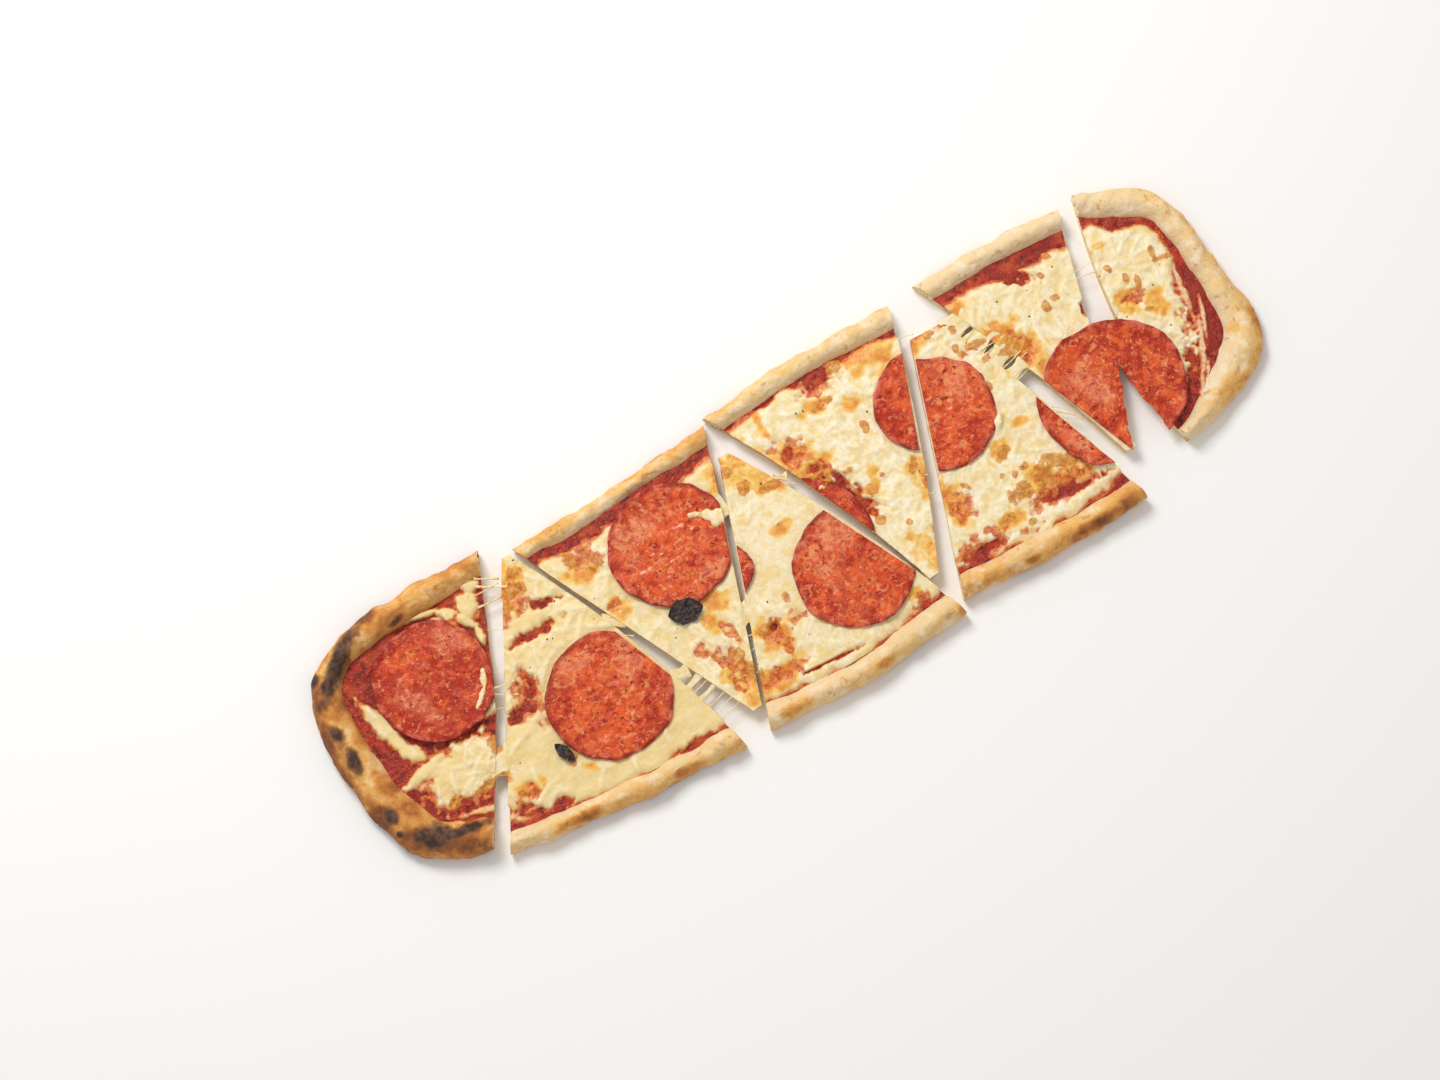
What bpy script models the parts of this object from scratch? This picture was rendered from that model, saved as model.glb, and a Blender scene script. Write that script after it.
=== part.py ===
"""A long pepperoni pizza, cut across in a zigzag into eight slices that still lie as one pizza.

Every slice is built the way the real one is made: a bread base with a puffed rim along its
outer edge, a thin layer of tomato sauce inside the rim, a layer of melted cheese on the sauce,
and thin rounds of pepperoni that the wheel cutter has cut through with the slice.

Sizes are in millimetres and are turned to metres where the meshes are made. The pizza lies
along X, its floor is z = 0, and the origin is the middle of its floor.
"""

import math

import bmesh
import bpy
from mathutils import Euler, Matrix, Vector, noise

MM = 0.001
# The middle of the pizza's outline on the plan. It is moved to the origin.
CENTRE = (2.85, -0.55)

# Bread.
BASE_TOP = 5.0
# The rim's section from its underside, over the outer roll, to its foot on the base:
# shares of the rim's width inwards and of its height upwards.
RIM_SECTION = (
    (0.20, 0.00),
    (0.05, 0.12),
    (0.00, 0.33),
    (0.05, 0.60),
    (0.20, 0.85),
    (0.43, 1.00),
    (0.67, 0.94),
    (0.88, 0.70),
)

# Toppings, from the base upwards, with a thin gap between one layer and the next.
GAP = 0.3
SAUCE_THICKNESS = 1.1
SAUCE_BOTTOM = BASE_TOP + GAP
SAUCE_TOP = SAUCE_BOTTOM + SAUCE_THICKNESS
CHEESE_THICKNESS = 2.4
CHEESE_BOTTOM = SAUCE_TOP + GAP
CHEESE_TOP = CHEESE_BOTTOM + CHEESE_THICKNESS
CHEESE_BAND = 5.0  # the sauce that shows between the rim's foot and the cheese
CHEESE_EDGE = 1.0  # how thick the cheese is at its melted edge
PEPPERONI_BOTTOM = CHEESE_TOP + GAP
PEPPERONI_THICKNESS = 1.4
PEPPERONI_CUP = 1.3  # how far the crisped edge curls up
PEPPERONI_SIDES = 32

# The slices as they lie. crust: the outer edge, from one cut to the other, seen from above.
# tip: where the two cuts meet, and tip_width how wide the slice still is there. For an end
# slice it is the middle of its one cut. bows: how far the first and the second cut bulge.
# rim: its widths in even steps from the first cut to the second, and its height.
SLICES = {
    "slice_1": {
        "crust": ((-142, 69), (-175.5, 69), (-209.5, 66.5), (-236.5, 57), (-250.5, 39), (-254, 9),
                  (-250.5, -24), (-240.5, -49), (-224.5, -62), (-206, -66.5)),
        "tip": (-170.5, -3), "tip_width": 5, "bows": (0, 0), "rim": ((12.5, 15.5, 13.5, 18.5, 19.5, 21.5, 15), 14.5), "columns": 24,
    },
    "slice_2": {
        "crust": ((-199.5, -73), (-135.5, -79.5), (-71.5, -82)),
        "tip": (-131.5, 59), "tip_width": 3, "bows": (0, 5), "rim": ((11.5, 11, 12), 11.5), "columns": 14,
    },
    "slice_3": {
        "crust": ((-126.5, 61), (-70.5, 64), (-12.5, 70)),
        "tip": (-58, -68), "tip_width": 4, "bows": (0, 0), "rim": ((9, 9.5, 10), 10.5), "columns": 14,
    },
    "slice_4": {
        "crust": ((-57.5, -81), (-4.5, -84), (56.5, -77)),
        "tip": (-11.5, 51), "tip_width": 4, "bows": (0, 4), "rim": ((14, 13.5, 14), 12.5), "columns": 14,
    },
    "slice_5": {
        "crust": ((-11.5, 73), (42.5, 78), (98.5, 78)),
        "tip": (51, -53), "tip_width": 4, "bows": (-4, 3), "rim": ((11.5, 11.5, 12), 11.5), "columns": 14,
    },
    "slice_6": {
        "crust": ((58.5, -71), (110.5, -73), (164.5, -71)),
        "tip": (108.5, 57), "tip_width": 17, "bows": (0, 3), "rim": ((13.5, 13, 13), 13), "columns": 14,
    },
    "slice_7": {
        "crust": ((114.5, 81), (156.5, 82.5), (198.5, 80)),
        "tip": (169, -45), "tip_width": 4, "bows": (-3, -3), "rim": ((12, 12, 12), 11.5), "columns": 12,
    },
    "slice_8": {
        "crust": ((209, 83), (231, 73.5), (248.5, 59), (255, 22.5), (259.5, -18.5), (247.5, -38),
                  (222, -50), (197.5, -56)),
        "tip": (196.5, 14), "tip_width": 5, "bows": (1.5, 5), "rim": ((13, 14, 11, 14.5, 20.5, 14.5, 8), 12.5), "columns": 24,
    },
}

# Rounds of pepperoni: centre, half length and half width, and the cuts that trim them.
# A trim names a slice and which of its cuts, 0 or 1, and keeps what lies inside that cut.
PEPPERONI = {
    "pepperoni_1": {"centre": (-192, 21), "radii": (30, 30.5), "trims": (("slice_1", 0),)},
    "pepperoni_2": {"centre": (-119, -27.5), "radii": (31.5, 32), "trims": (("slice_2", 1),)},
    "pepperoni_3": {"centre": (-56, 23.5), "radii": (32, 31), "trims": (("slice_3", 1),)},
    "pepperoni_3_end": {"centre": (-51, -0.5), "radii": (26, 18), "trims": (("slice_4", 0),)},
    "pepperoni_4": {"centre": (18.5, -29.5), "radii": (31.5, 31), "trims": (("slice_4", 1),)},
    "pepperoni_4_end": {"centre": (4.5, -9.5), "radii": (33, 33), "trims": (("slice_5", 0),)},
    "pepperoni_5": {"centre": (93.5, 17), "radii": (29.5, 29.5), "trims": (("slice_6", 0),)},
    "pepperoni_5_end": {"centre": (89.5, 26.5), "radii": (25.5, 25.5), "trims": (("slice_5", 1),)},
    "pepperoni_6": {"centre": (177, -15), "radii": (36.5, 34), "trims": (("slice_7", 0),)},
    "pepperoni_6_end": {"centre": (169.5, -16.5), "radii": (33, 33), "trims": (("slice_6", 1),)},
}
# The last round lies across two slices. It tore open below as they were drawn apart.
TEAR = ((184.5, -4.5), (165, -58), (192, -58))

# Basil leaves, charred and crumpled: centre, length and width, and turn. lean is how far the
# leaf's upper side is lifted, where it leans on a round of pepperoni.
LEAVES = {
    "leaf_1": {"centre": (-66, -9), "size": (18, 12), "turn": -12, "lean": 3.2},
    "leaf_2": {"centre": (-152, -41.5), "size": (13, 5.5), "turn": -68, "lean": 0.6},
}
LEAF_THICKNESS = 0.7
LEAF_CRUMPLE = 1.2
LEAF_BOTTOM = CHEESE_TOP + 1.3

MATERIALS = {
    "bread": ((0.83, 0.58, 0.31), 0.85),
    "sauce": ((0.38, 0.045, 0.02), 0.35),
    "cheese": ((0.87, 0.72, 0.42), 0.40),
    "pepperoni": ((0.56, 0.09, 0.045), 0.35),
    "leaf": ((0.05, 0.04, 0.03), 0.60),
}


def clear_scene():
    for item in list(bpy.data.objects):
        bpy.data.objects.remove(item, do_unlink=True)


def make_collection(name):
    collection = bpy.data.collections.new(name)
    bpy.context.scene.collection.children.link(collection)
    return collection


def make_material(name):
    colour, roughness = MATERIALS[name]
    material = bpy.data.materials.new(name)
    material.use_nodes = True
    surface = material.node_tree.nodes["Principled BSDF"]
    surface.inputs["Base Color"].default_value = (*colour, 1.0)
    surface.inputs["Roughness"].default_value = roughness
    surface.inputs["Metallic"].default_value = 0.0
    return material


def smooth_curve(points, share):
    """The point a share of the way along a smooth curve through the points, and its direction."""
    spans = len(points) - 1
    place = min(share * spans, spans - 1e-6)
    k = int(place)
    f = place - k
    p1, p2 = Vector(points[k]), Vector(points[k + 1])
    p0 = Vector(points[k - 1]) if k > 0 else 2 * p1 - p2
    p3 = Vector(points[k + 2]) if k + 2 <= spans else 2 * p2 - p1
    a = 2 * p1
    b = p2 - p0
    c = 2 * p0 - 5 * p1 + 4 * p2 - p3
    d = 3 * p1 - p0 - 3 * p2 + p3
    return 0.5 * (a + b * f + c * f * f + d * f**3), 0.5 * (b + 2 * c * f + 3 * d * f * f)


class Slice:
    """The plan of one slice: from a place along its crust and a depth in from it to a point."""

    def __init__(self, name, spec):
        self.name = name
        self.columns = spec["columns"]
        self.rim_widths, self.rim_height = spec["rim"]
        self.bows = spec["bows"]
        self.tip = Vector(spec["tip"])
        self.crust_points = spec["crust"]
        self.start = Vector(spec["crust"][0])
        self.end = Vector(spec["crust"][-1])
        across = (self.end - self.start).normalized()
        self.tips = [self.tip - across * spec["tip_width"] / 2, self.tip + across * spec["tip_width"] / 2]
        middle = (self.start + self.end + self.tip) / 3
        self.outward = [self.cut_normal(0, middle), self.cut_normal(1, middle)]

    def cut_normal(self, cut, middle):
        """Level, square to a cut, and pointing out of the slice."""
        corner = (self.start, self.end)[cut]
        along = (self.tips[cut] - corner).normalized()
        normal = Vector((along.y, -along.x))
        return normal if normal.dot(corner - middle) > 0 else -normal

    def ray(self, s):
        """The crust point at s, the tip point opposite, and the depth between them."""
        edge, direction = smooth_curve(self.crust_points, s)
        inner = self.tips[0].lerp(self.tips[1], s)
        normal = Vector((direction.y, -direction.x)).normalized()
        return edge, inner, abs((edge - inner).dot(normal))

    def at(self, s, t):
        """The point at s along the crust and a share t of the way from the crust to the tip."""
        edge, inner, _ = self.ray(s)
        swell = 4 * t * (1 - t)
        bow = self.outward[0] * self.bows[0] * (1 - s) + self.outward[1] * self.bows[1] * s
        return edge.lerp(inner, t) + bow * swell

    def rim_width(self, s):
        """The rim's width at s, by a smooth curve through its widths in even steps."""
        return smooth_curve([(width, 0) for width in self.rim_widths], s)[0].x

    def share(self, s, depth):
        """A depth in millimetres as a share of the way to the tip."""
        return depth / self.ray(s)[2]


def lumps(x, y, size, seed):
    """Smooth unevenness from about -1 to 1, with lumps of about the given size."""
    return noise.noise(Vector((x / size, y / size, seed * 7.3)))


def new_object(name, bm, material, collection):
    bm.normal_update()
    bmesh.ops.recalc_face_normals(bm, faces=bm.faces)
    mesh = bpy.data.meshes.new(name)
    bm.to_mesh(mesh)
    bm.free()
    mesh.transform(Matrix.Scale(MM, 4) @ Matrix.Translation((-CENTRE[0], -CENTRE[1], 0)))
    mesh.materials.append(material)
    mesh.shade_smooth()
    mesh.set_sharp_from_angle(angle=math.radians(40))
    item = bpy.data.objects.new(name, mesh)
    collection.objects.link(item)
    return item


def mapped_grid(bm, columns, rows, place):
    """A grid of columns by rows whose corner (i, j) is moved to place(i, j). Returns its corners."""
    made = bmesh.ops.create_grid(bm, x_segments=columns, y_segments=rows, size=0.5)
    table = [[None] * (rows + 1) for _ in range(columns + 1)]
    for vert in made["verts"]:
        i = round((vert.co.x + 0.5) * columns)
        j = round((vert.co.y + 0.5) * rows)
        table[i][j] = vert
    for i in range(columns + 1):
        for j in range(rows + 1):
            table[i][j].co = place(i, j)
    return table


def close_below(bm, table, first_row, floor_z):
    """Walls straight down to a level floor along both cuts and the tip, from first_row inwards.

    What is left of each cut face outside first_row, which is the rim's round section, becomes
    one face, and so does the floor.
    """
    last = len(table[0]) - 1
    path = table[0][first_row:last]
    path += [column[last] for column in table]
    path += table[-1][first_row:last][::-1]
    floor = [bm.verts.new((v.co.x, v.co.y, floor_z)) for v in path]
    for k in range(len(path) - 1):
        bm.faces.new((path[k], path[k + 1], floor[k + 1], floor[k]))
    outer = [column[0] for column in table]
    if first_row > 0:
        bm.faces.new([table[0][j] for j in range(first_row + 1)] + [floor[0]])
        bm.faces.new([table[-1][j] for j in range(first_row + 1)] + [floor[-1]])
        bm.faces.new(floor + outer[::-1])
        return
    edge_floor = [floor[0]]
    edge_floor += [bm.verts.new((v.co.x, v.co.y, floor_z)) for v in outer[1:-1]]
    edge_floor += [floor[-1]]
    for k in range(len(outer) - 1):
        bm.faces.new((outer[k], outer[k + 1], edge_floor[k + 1], edge_floor[k]))
    bm.faces.new(floor + edge_floor[-2:0:-1])


def make_bread(plan, seed, material, collection):
    """The baked dough: a rounded, uneven rim that falls to a flat base."""
    bm = bmesh.new()
    inner_shares = (0.35, 0.55, 0.75, 1.0)
    rim_rows = len(RIM_SECTION)

    def place(i, j):
        s = i / plan.columns
        edge = plan.at(s, 0)
        puff = 1 + 0.10 * lumps(edge.x, edge.y, 22, seed)
        if j < rim_rows:
            inwards, upwards = RIM_SECTION[j]
            t = plan.share(s, inwards * plan.rim_width(s))
            height = upwards * plan.rim_height * puff
        else:
            foot = plan.share(s, plan.rim_width(s))
            t = foot if j == rim_rows else foot + (1 - foot) * inner_shares[j - rim_rows - 1]
            height = BASE_TOP
        point = plan.at(s, t)
        return Vector((point.x, point.y, height))

    table = mapped_grid(bm, plan.columns, rim_rows + len(inner_shares), place)
    close_below(bm, table, rim_rows, 0.0)
    return new_object(plan.name + "_bread", bm, material, collection)


def make_sauce(plan, material, collection):
    """Tomato sauce, spread over the base up to the rim's foot."""
    bm = bmesh.new()

    def place(i, j):
        s = i / plan.columns
        outer = plan.share(s, plan.rim_width(s) + GAP)
        point = plan.at(s, outer + (1 - outer) * j / 3)
        return Vector((point.x, point.y, SAUCE_TOP))

    table = mapped_grid(bm, plan.columns, 3, place)
    close_below(bm, table, 0, SAUCE_BOTTOM)
    return new_object(plan.name + "_sauce", bm, material, collection)


def under_pepperoni(x, y):
    """True where a round of pepperoni, with some room round it, lies over the point."""
    room = 7
    for spec in PEPPERONI.values():
        (cx, cy), (a, b) = spec["centre"], spec["radii"]
        if math.hypot((x - cx) / (a + room), (y - cy) / (b + room)) < 1:
            return True
    return False


def make_cheese(plan, seed, material, collection):
    """Melted cheese with an uneven edge, thin there and lumpy further in."""
    bm = bmesh.new()
    rows = 7

    def place(i, j):
        s = i / plan.columns
        edge = plan.at(s, 0)
        band = CHEESE_BAND + 2.5 * lumps(edge.x, edge.y, 14, seed + 3)
        outer = plan.share(s, plan.rim_width(s) + band)
        shoulder = plan.share(s, plan.rim_width(s) + band + 2.5)
        t = outer if j == 0 else shoulder + (1 - shoulder) * (j - 1) / (rows - 1)
        point = plan.at(s, t)
        if j == 0:
            return Vector((point.x, point.y, CHEESE_BOTTOM + CHEESE_EDGE))
        rise = 0.0
        if not under_pepperoni(point.x, point.y):
            rise = 0.6 * lumps(point.x, point.y, 12, seed + 5)
        return Vector((point.x, point.y, CHEESE_TOP + min(rise, 0.4)))

    table = mapped_grid(bm, plan.columns, rows, place)
    close_below(bm, table, 0, CHEESE_BOTTOM)
    return new_object(plan.name + "_cheese", bm, material, collection)


def cut_away(bm, point, normal):
    """Cuts everything off beyond a level-sided plane, and closes the cut."""
    geometry = list(bm.verts) + list(bm.edges) + list(bm.faces)
    bmesh.ops.bisect_plane(
        bm,
        geom=geometry,
        dist=0.0001,
        plane_co=(point.x, point.y, 0),
        plane_no=(normal.x, normal.y, 0),
        clear_outer=True,
    )
    open_edges = [edge for edge in bm.edges if edge.is_boundary]
    bmesh.ops.holes_fill(bm, edges=open_edges)


def pepperoni_disc(bm, spec, seed):
    """A thin round with a flat middle and a wavy edge that curls up."""
    made = bmesh.ops.create_cone(
        bm,
        cap_ends=True,
        segments=PEPPERONI_SIDES,
        radius1=1,
        radius2=1,
        depth=PEPPERONI_THICKNESS,
    )
    caps = [face for face in bm.faces if len(face.verts) > 4]
    bmesh.ops.inset_region(bm, faces=caps, thickness=0.16, use_even_offset=False)
    outer = {vert for vert in made["verts"]}
    (cx, cy), (a, b) = spec["centre"], spec["radii"]
    for vert in bm.verts:
        angle = math.atan2(vert.co.y, vert.co.x)
        wave = noise.noise(Vector((2 * math.cos(angle), 2 * math.sin(angle), seed * 3.1)))
        ripple = 1 + 0.03 * wave
        lift = 0.0
        if vert in outer:
            lift = PEPPERONI_CUP * (0.6 + 0.6 * wave)
        vert.co.x = cx + a * vert.co.x * ripple
        vert.co.y = cy + b * vert.co.y * ripple
        vert.co.z += PEPPERONI_BOTTOM + PEPPERONI_THICKNESS / 2 + max(lift, 0)


def make_pepperoni(name, spec, plans, seed, material, collection):
    """A round of pepperoni, trimmed where the cutter went through it."""
    bm = bmesh.new()
    pepperoni_disc(bm, spec, seed)
    for slice_name, cut in spec["trims"]:
        plan = plans[slice_name]
        near, far = plan.at(cut, 0.25), plan.at(cut, 0.8)
        along = (far - near).normalized()
        normal = Vector((along.y, -along.x))
        if normal.dot(plan.outward[cut]) < 0:
            normal = -normal
        cut_away(bm, near, normal)
    return new_object(name, bm, material, collection)


def make_tear(cutters):
    """The wedge that is missing from the torn round, as a cutter."""
    bm = bmesh.new()
    bmesh.ops.create_cone(bm, cap_ends=True, segments=3, radius1=1, radius2=1, depth=20)
    for vert in bm.verts:
        turn = math.atan2(vert.co.y, vert.co.x)
        vert.co.x, vert.co.y = TEAR[round(turn / math.radians(120)) % 3]
        vert.co.z += PEPPERONI_BOTTOM
    cutter = new_object("tear_cutter", bm, bpy.data.materials["pepperoni"], cutters)
    cutter.hide_render = True
    cutter.display_type = "WIRE"
    return cutter


def make_leaf(name, spec, seed, material, collection):
    """A charred leaf: a crumpled sheet with a pointed outline and an even thickness."""
    columns, rows = 8, 6
    cx, cy = spec["centre"]
    length, width = spec["size"]
    bm = bmesh.new()

    def place(i, j):
        u, v = 2 * i / columns - 1, 2 * j / rows - 1
        half = width / 2 * (1 - abs(u) ** 2.2) + 0.6
        x, y = u * length / 2, v * half
        lift = LEAF_CRUMPLE * lumps(x, y, 4.5, seed) + spec["lean"] * (y / width + 0.5)
        turned = Vector((x, y, LEAF_BOTTOM + lift))
        turned.rotate(Euler((0, 0, math.radians(spec["turn"]))))
        return turned + Vector((cx, cy, 0))

    mapped_grid(bm, columns, rows, place)
    made = bmesh.ops.extrude_face_region(bm, geom=list(bm.faces))
    for item in made["geom"]:
        if isinstance(item, bmesh.types.BMVert):
            item.co.z += LEAF_THICKNESS
    return new_object(name, bm, material, collection)


def main():
    clear_scene()
    pizza = make_collection("pepperoni_pizza")
    cutters = make_collection("cutters")
    materials = {name: make_material(name) for name in MATERIALS}
    plans = {name: Slice(name, spec) for name, spec in SLICES.items()}
    for seed, plan in enumerate(plans.values()):
        make_bread(plan, seed, materials["bread"], pizza)
        make_sauce(plan, materials["sauce"], pizza)
        make_cheese(plan, seed, materials["cheese"], pizza)
    for seed, (name, spec) in enumerate(LEAVES.items()):
        make_leaf(name, spec, seed, materials["leaf"], pizza)
    rounds = {}
    for seed, (name, spec) in enumerate(PEPPERONI.items()):
        rounds[name] = make_pepperoni(name, spec, plans, seed, materials["pepperoni"], pizza)
    torn = rounds["pepperoni_6"].modifiers.new("tear", "BOOLEAN")
    torn.operation = "DIFFERENCE"
    torn.object = make_tear(cutters)


main()
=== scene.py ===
# %% [markdown]
# # A half-metre pepperoni pizza, cut into eight slices
#
# The object is a long pizza that was baked on one strip of dough and then cut across in a
# zigzag. The slices were drawn a little apart, so cheese strings cross some of the cuts.
# We dress a packed model, the frame, with fine surfaces: bread, sauce, cheese and pepperoni.
# Everything on a pizza is soft and uneven, so most surfaces here are fields of heights, worked
# out on a fine grid, rather than boxes and cylinders.

# %% The tools and the frame
import math

import bmesh
import bpy
import numpy as np
from mathutils import Matrix, Vector


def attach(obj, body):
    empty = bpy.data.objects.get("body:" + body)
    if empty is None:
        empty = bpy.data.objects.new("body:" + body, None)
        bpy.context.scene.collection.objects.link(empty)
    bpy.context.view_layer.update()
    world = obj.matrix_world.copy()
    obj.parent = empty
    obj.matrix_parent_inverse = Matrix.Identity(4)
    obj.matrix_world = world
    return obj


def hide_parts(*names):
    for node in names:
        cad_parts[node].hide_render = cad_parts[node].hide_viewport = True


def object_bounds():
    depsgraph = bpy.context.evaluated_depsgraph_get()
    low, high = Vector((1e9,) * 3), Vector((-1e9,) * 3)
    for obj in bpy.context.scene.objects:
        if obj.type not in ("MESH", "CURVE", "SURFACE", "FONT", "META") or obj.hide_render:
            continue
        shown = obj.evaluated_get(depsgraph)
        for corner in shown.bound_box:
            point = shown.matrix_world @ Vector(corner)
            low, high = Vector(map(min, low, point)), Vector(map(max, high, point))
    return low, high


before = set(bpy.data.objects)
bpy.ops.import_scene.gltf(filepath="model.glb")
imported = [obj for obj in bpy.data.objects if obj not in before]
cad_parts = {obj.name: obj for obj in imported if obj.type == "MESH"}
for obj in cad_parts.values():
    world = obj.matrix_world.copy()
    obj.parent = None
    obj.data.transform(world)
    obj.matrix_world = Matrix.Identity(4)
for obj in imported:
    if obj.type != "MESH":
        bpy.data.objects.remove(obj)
CAD_BOX = [list(corner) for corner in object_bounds()]
MM = 0.001
cad_box_mm = np.round(np.array(CAD_BOX) * 1000, 1).tolist()
print("frame:", len(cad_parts), "nodes, box in mm:", cad_box_mm)

# %% [markdown]
# ## The camera
#
# The photograph looks almost straight down, and the pizza runs up to the right in it. A long
# lens from far away keeps parallel edges parallel, as a product photograph does. We find the
# camera's place from three facts: how far the pizza is turned in the picture, how far the view
# leans back from straight down, and how many millimetres of table the picture's width holds.

# %% The camera
PIZZA_TURN = math.radians(29)  # the pizza's length in the picture, up from level
LEAN = math.radians(8)  # away from straight down, towards the picture's lower edge
PICTURE_WIDTH = 720.0  # millimetres of table across the picture
PICTURE_MIDDLE = (-36.25, 15.25, 6.0)  # the point in the middle of the picture
LENS = 75.0
SENSOR = 36.0

rightwards = Vector((math.cos(PIZZA_TURN), -math.sin(PIZZA_TURN), 0))
upwards = Vector((math.sin(PIZZA_TURN), math.cos(PIZZA_TURN), 0))
backwards = Vector((0, 0, 1)) * math.cos(LEAN) - upwards * math.sin(LEAN)
distance = PICTURE_WIDTH * LENS / SENSOR

camera_data = bpy.data.cameras.new("camera")
camera_data.lens = LENS
camera_data.sensor_width = SENSOR
camera = bpy.data.objects.new("camera", camera_data)
camera.location = (Vector(PICTURE_MIDDLE) + backwards * distance) * MM
axes = Matrix((rightwards, backwards.cross(rightwards), backwards)).transposed()
camera.rotation_mode = "QUATERNION"
camera.rotation_quaternion = axes.to_quaternion()
bpy.context.scene.collection.objects.link(camera)
bpy.context.scene.camera = camera
print("camera:", round(distance), "mm away")

# %% [markdown]
# ## Light and table
#
# Food looks fresh under one large soft light with plenty of fill. The light comes from the
# picture's upper left, low enough to show the relief of the cheese, and a pale world fills the
# shadows. The table is a plain pale sheet, so nothing competes with the food.


# %% Light and table
def tone(red, green, blue):
    """A colour as picked from a screen, 0 to 255, turned to the linear values that shaders use."""
    shares = np.array([red, green, blue]) / 255
    linear = np.where(shares < 0.04045, shares / 12.92, ((shares + 0.055) / 1.055) ** 2.4)
    return (*linear.tolist(), 1.0)


KEY_POWER = 13.4  # watts
KEY_SIZE = 0.5  # metres
KEY_PLACE = (-0.55, 0.75, 1.15)  # metres to the picture's right, towards its top, and up
FILL = 0.58  # how strongly the pale world shines into the shadows
TABLE_HALF = 2.5  # metres

key_data = bpy.data.lights.new("key", "AREA")
key_data.energy = KEY_POWER
key_data.size = KEY_SIZE
key = bpy.data.objects.new("key", key_data)
key.location = rightwards * KEY_PLACE[0] + upwards * KEY_PLACE[1] + Vector((0, 0, KEY_PLACE[2]))
key.rotation_mode = "QUATERNION"
key.rotation_quaternion = (-key.location).to_track_quat("-Z", "Y")
bpy.context.scene.collection.objects.link(key)

world = bpy.data.worlds.new("studio")
world.use_nodes = True
sky = world.node_tree.nodes["Background"]
sky.inputs["Color"].default_value = (1.0, 0.99, 0.97, 1.0)
sky.inputs["Strength"].default_value = FILL
bpy.context.scene.world = world
bpy.context.scene.view_settings.view_transform = "Standard"

table_mesh = bpy.data.meshes.new("table")
corners = [(x * TABLE_HALF, y * TABLE_HALF, 0) for x, y in ((-1, -1), (1, -1), (1, 1), (-1, 1))]
table_mesh.from_pydata(corners, [], [(0, 1, 2, 3)])
table = bpy.data.objects.new("table", table_mesh)
bpy.context.scene.collection.objects.link(table)
print("key light:", round(key.location.length, 2), "m from the pizza")

# %% [markdown]
# ## Arithmetic for materials
#
# A material's node tree is easier to read as sums than as boxes and wires. This class holds one
# output socket. Adding or multiplying two of them adds the Math nodes, and one method adds
# every other kind of node, so a whole finish fits in a few lines.


# %% A class for shader arithmetic
class Flow:
    """A value that flows through a tree of nodes."""

    def __init__(self, tree, socket=None):
        self.tree = tree
        self.socket = socket

    def node(self, kind, settings=None, inputs=None, output=0):
        """Adds a node of any kind. Its settings come first, then its inputs, by name or number."""
        made = self.tree.nodes.new(kind)
        for name, value in (settings or {}).items():
            if name == "stops":
                ramp = made.color_ramp
                while len(ramp.elements) < len(value):
                    ramp.elements.new(0.5)
                for element, (place, colour) in zip(ramp.elements, value):
                    element.position, element.color = place, colour
            else:
                setattr(made, name, value)
        for key, value in (inputs or {}).items():
            if isinstance(value, Flow):
                self.tree.links.new(value.socket, made.inputs[key])
            else:
                made.inputs[key].default_value = value
        return Flow(self.tree, made.outputs[output] if len(made.outputs) else None)

    def math(self, operation, *values):
        """A Math node on these values."""
        return self.node("ShaderNodeMath", {"operation": operation}, dict(enumerate(values)))

    def __add__(self, other):
        return self.math("ADD", self, other)

    def __sub__(self, other):
        return self.math("SUBTRACT", self, other)

    def __rsub__(self, other):
        return self.math("SUBTRACT", other, self)

    def __mul__(self, other):
        return self.math("MULTIPLY", self, other)

    __radd__ = __add__
    __rmul__ = __mul__

    def above(self, low, high):
        """A smooth step: 0 where the value is under low, 1 where it is over high."""
        inputs = {"Value": self, "From Min": low, "From Max": high}
        return self.node("ShaderNodeMapRange", {"interpolation_type": "SMOOTHSTEP"}, inputs)

    def blend(self, first, second):
        """From the first colour to the second as the value goes from 0 to 1."""
        inputs = {0: self, 6: first, 7: second}  # the factor, then the two colour sockets
        return self.node("ShaderNodeMix", {"data_type": "RGBA"}, inputs, 2)

    def attribute(self, name):
        """A value that was stored on the mesh's points."""
        return self.node("ShaderNodeAttribute", {"attribute_name": name}, output="Fac")

    def noise(self, size, detail=3.0, rough=0.55, twist=0.0):
        """Noise whose lumps are about size millimetres across."""
        inputs = {
            "Vector": self,
            "Scale": 1 / (size * MM),
            "Detail": detail,
            "Roughness": rough,
            "Distortion": twist,
        }
        return self.node("ShaderNodeTexNoise", None, inputs, "Fac")

    def cells(self, size):
        """Rounded cells about size millimetres across: 0 in the middle of each."""
        inputs = {"Vector": self, "Scale": 1 / (size * MM)}
        return self.node("ShaderNodeTexVoronoi", {"feature": "F1"}, inputs, "Distance")

    def bump(self, depth):
        """A relief of depth millimetres from this value."""
        inputs = {"Height": self, "Distance": depth * MM, "Strength": 1.0}
        return self.node("ShaderNodeBump", None, inputs, "Normal")


print("a flow can:", [name for name in vars(Flow) if not name.startswith("_")])

# %% [markdown]
# ## Starting and finishing a material
#
# Every material here starts from Object coordinates, because every piece lies at the origin and
# they then measure real metres on it. Every material ends in one Principled shader. The table
# is the first and plainest: paper white, with a shade that hardly changes.


# %% Two helpers, and the table's paper
def new_material(name):
    """A material with an empty node tree, and the object coordinates to start from."""
    material = bpy.data.materials.new(name)
    material.use_nodes = True
    material.node_tree.nodes.clear()
    return material, Flow(material.node_tree).node("ShaderNodeTexCoord", output="Object")


def finish_material(start, inputs):
    """Puts a Principled shader with these inputs on the material."""
    shader = start.node("ShaderNodeBsdfPrincipled", None, inputs)
    start.node("ShaderNodeOutputMaterial", None, {"Surface": shader})


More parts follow.
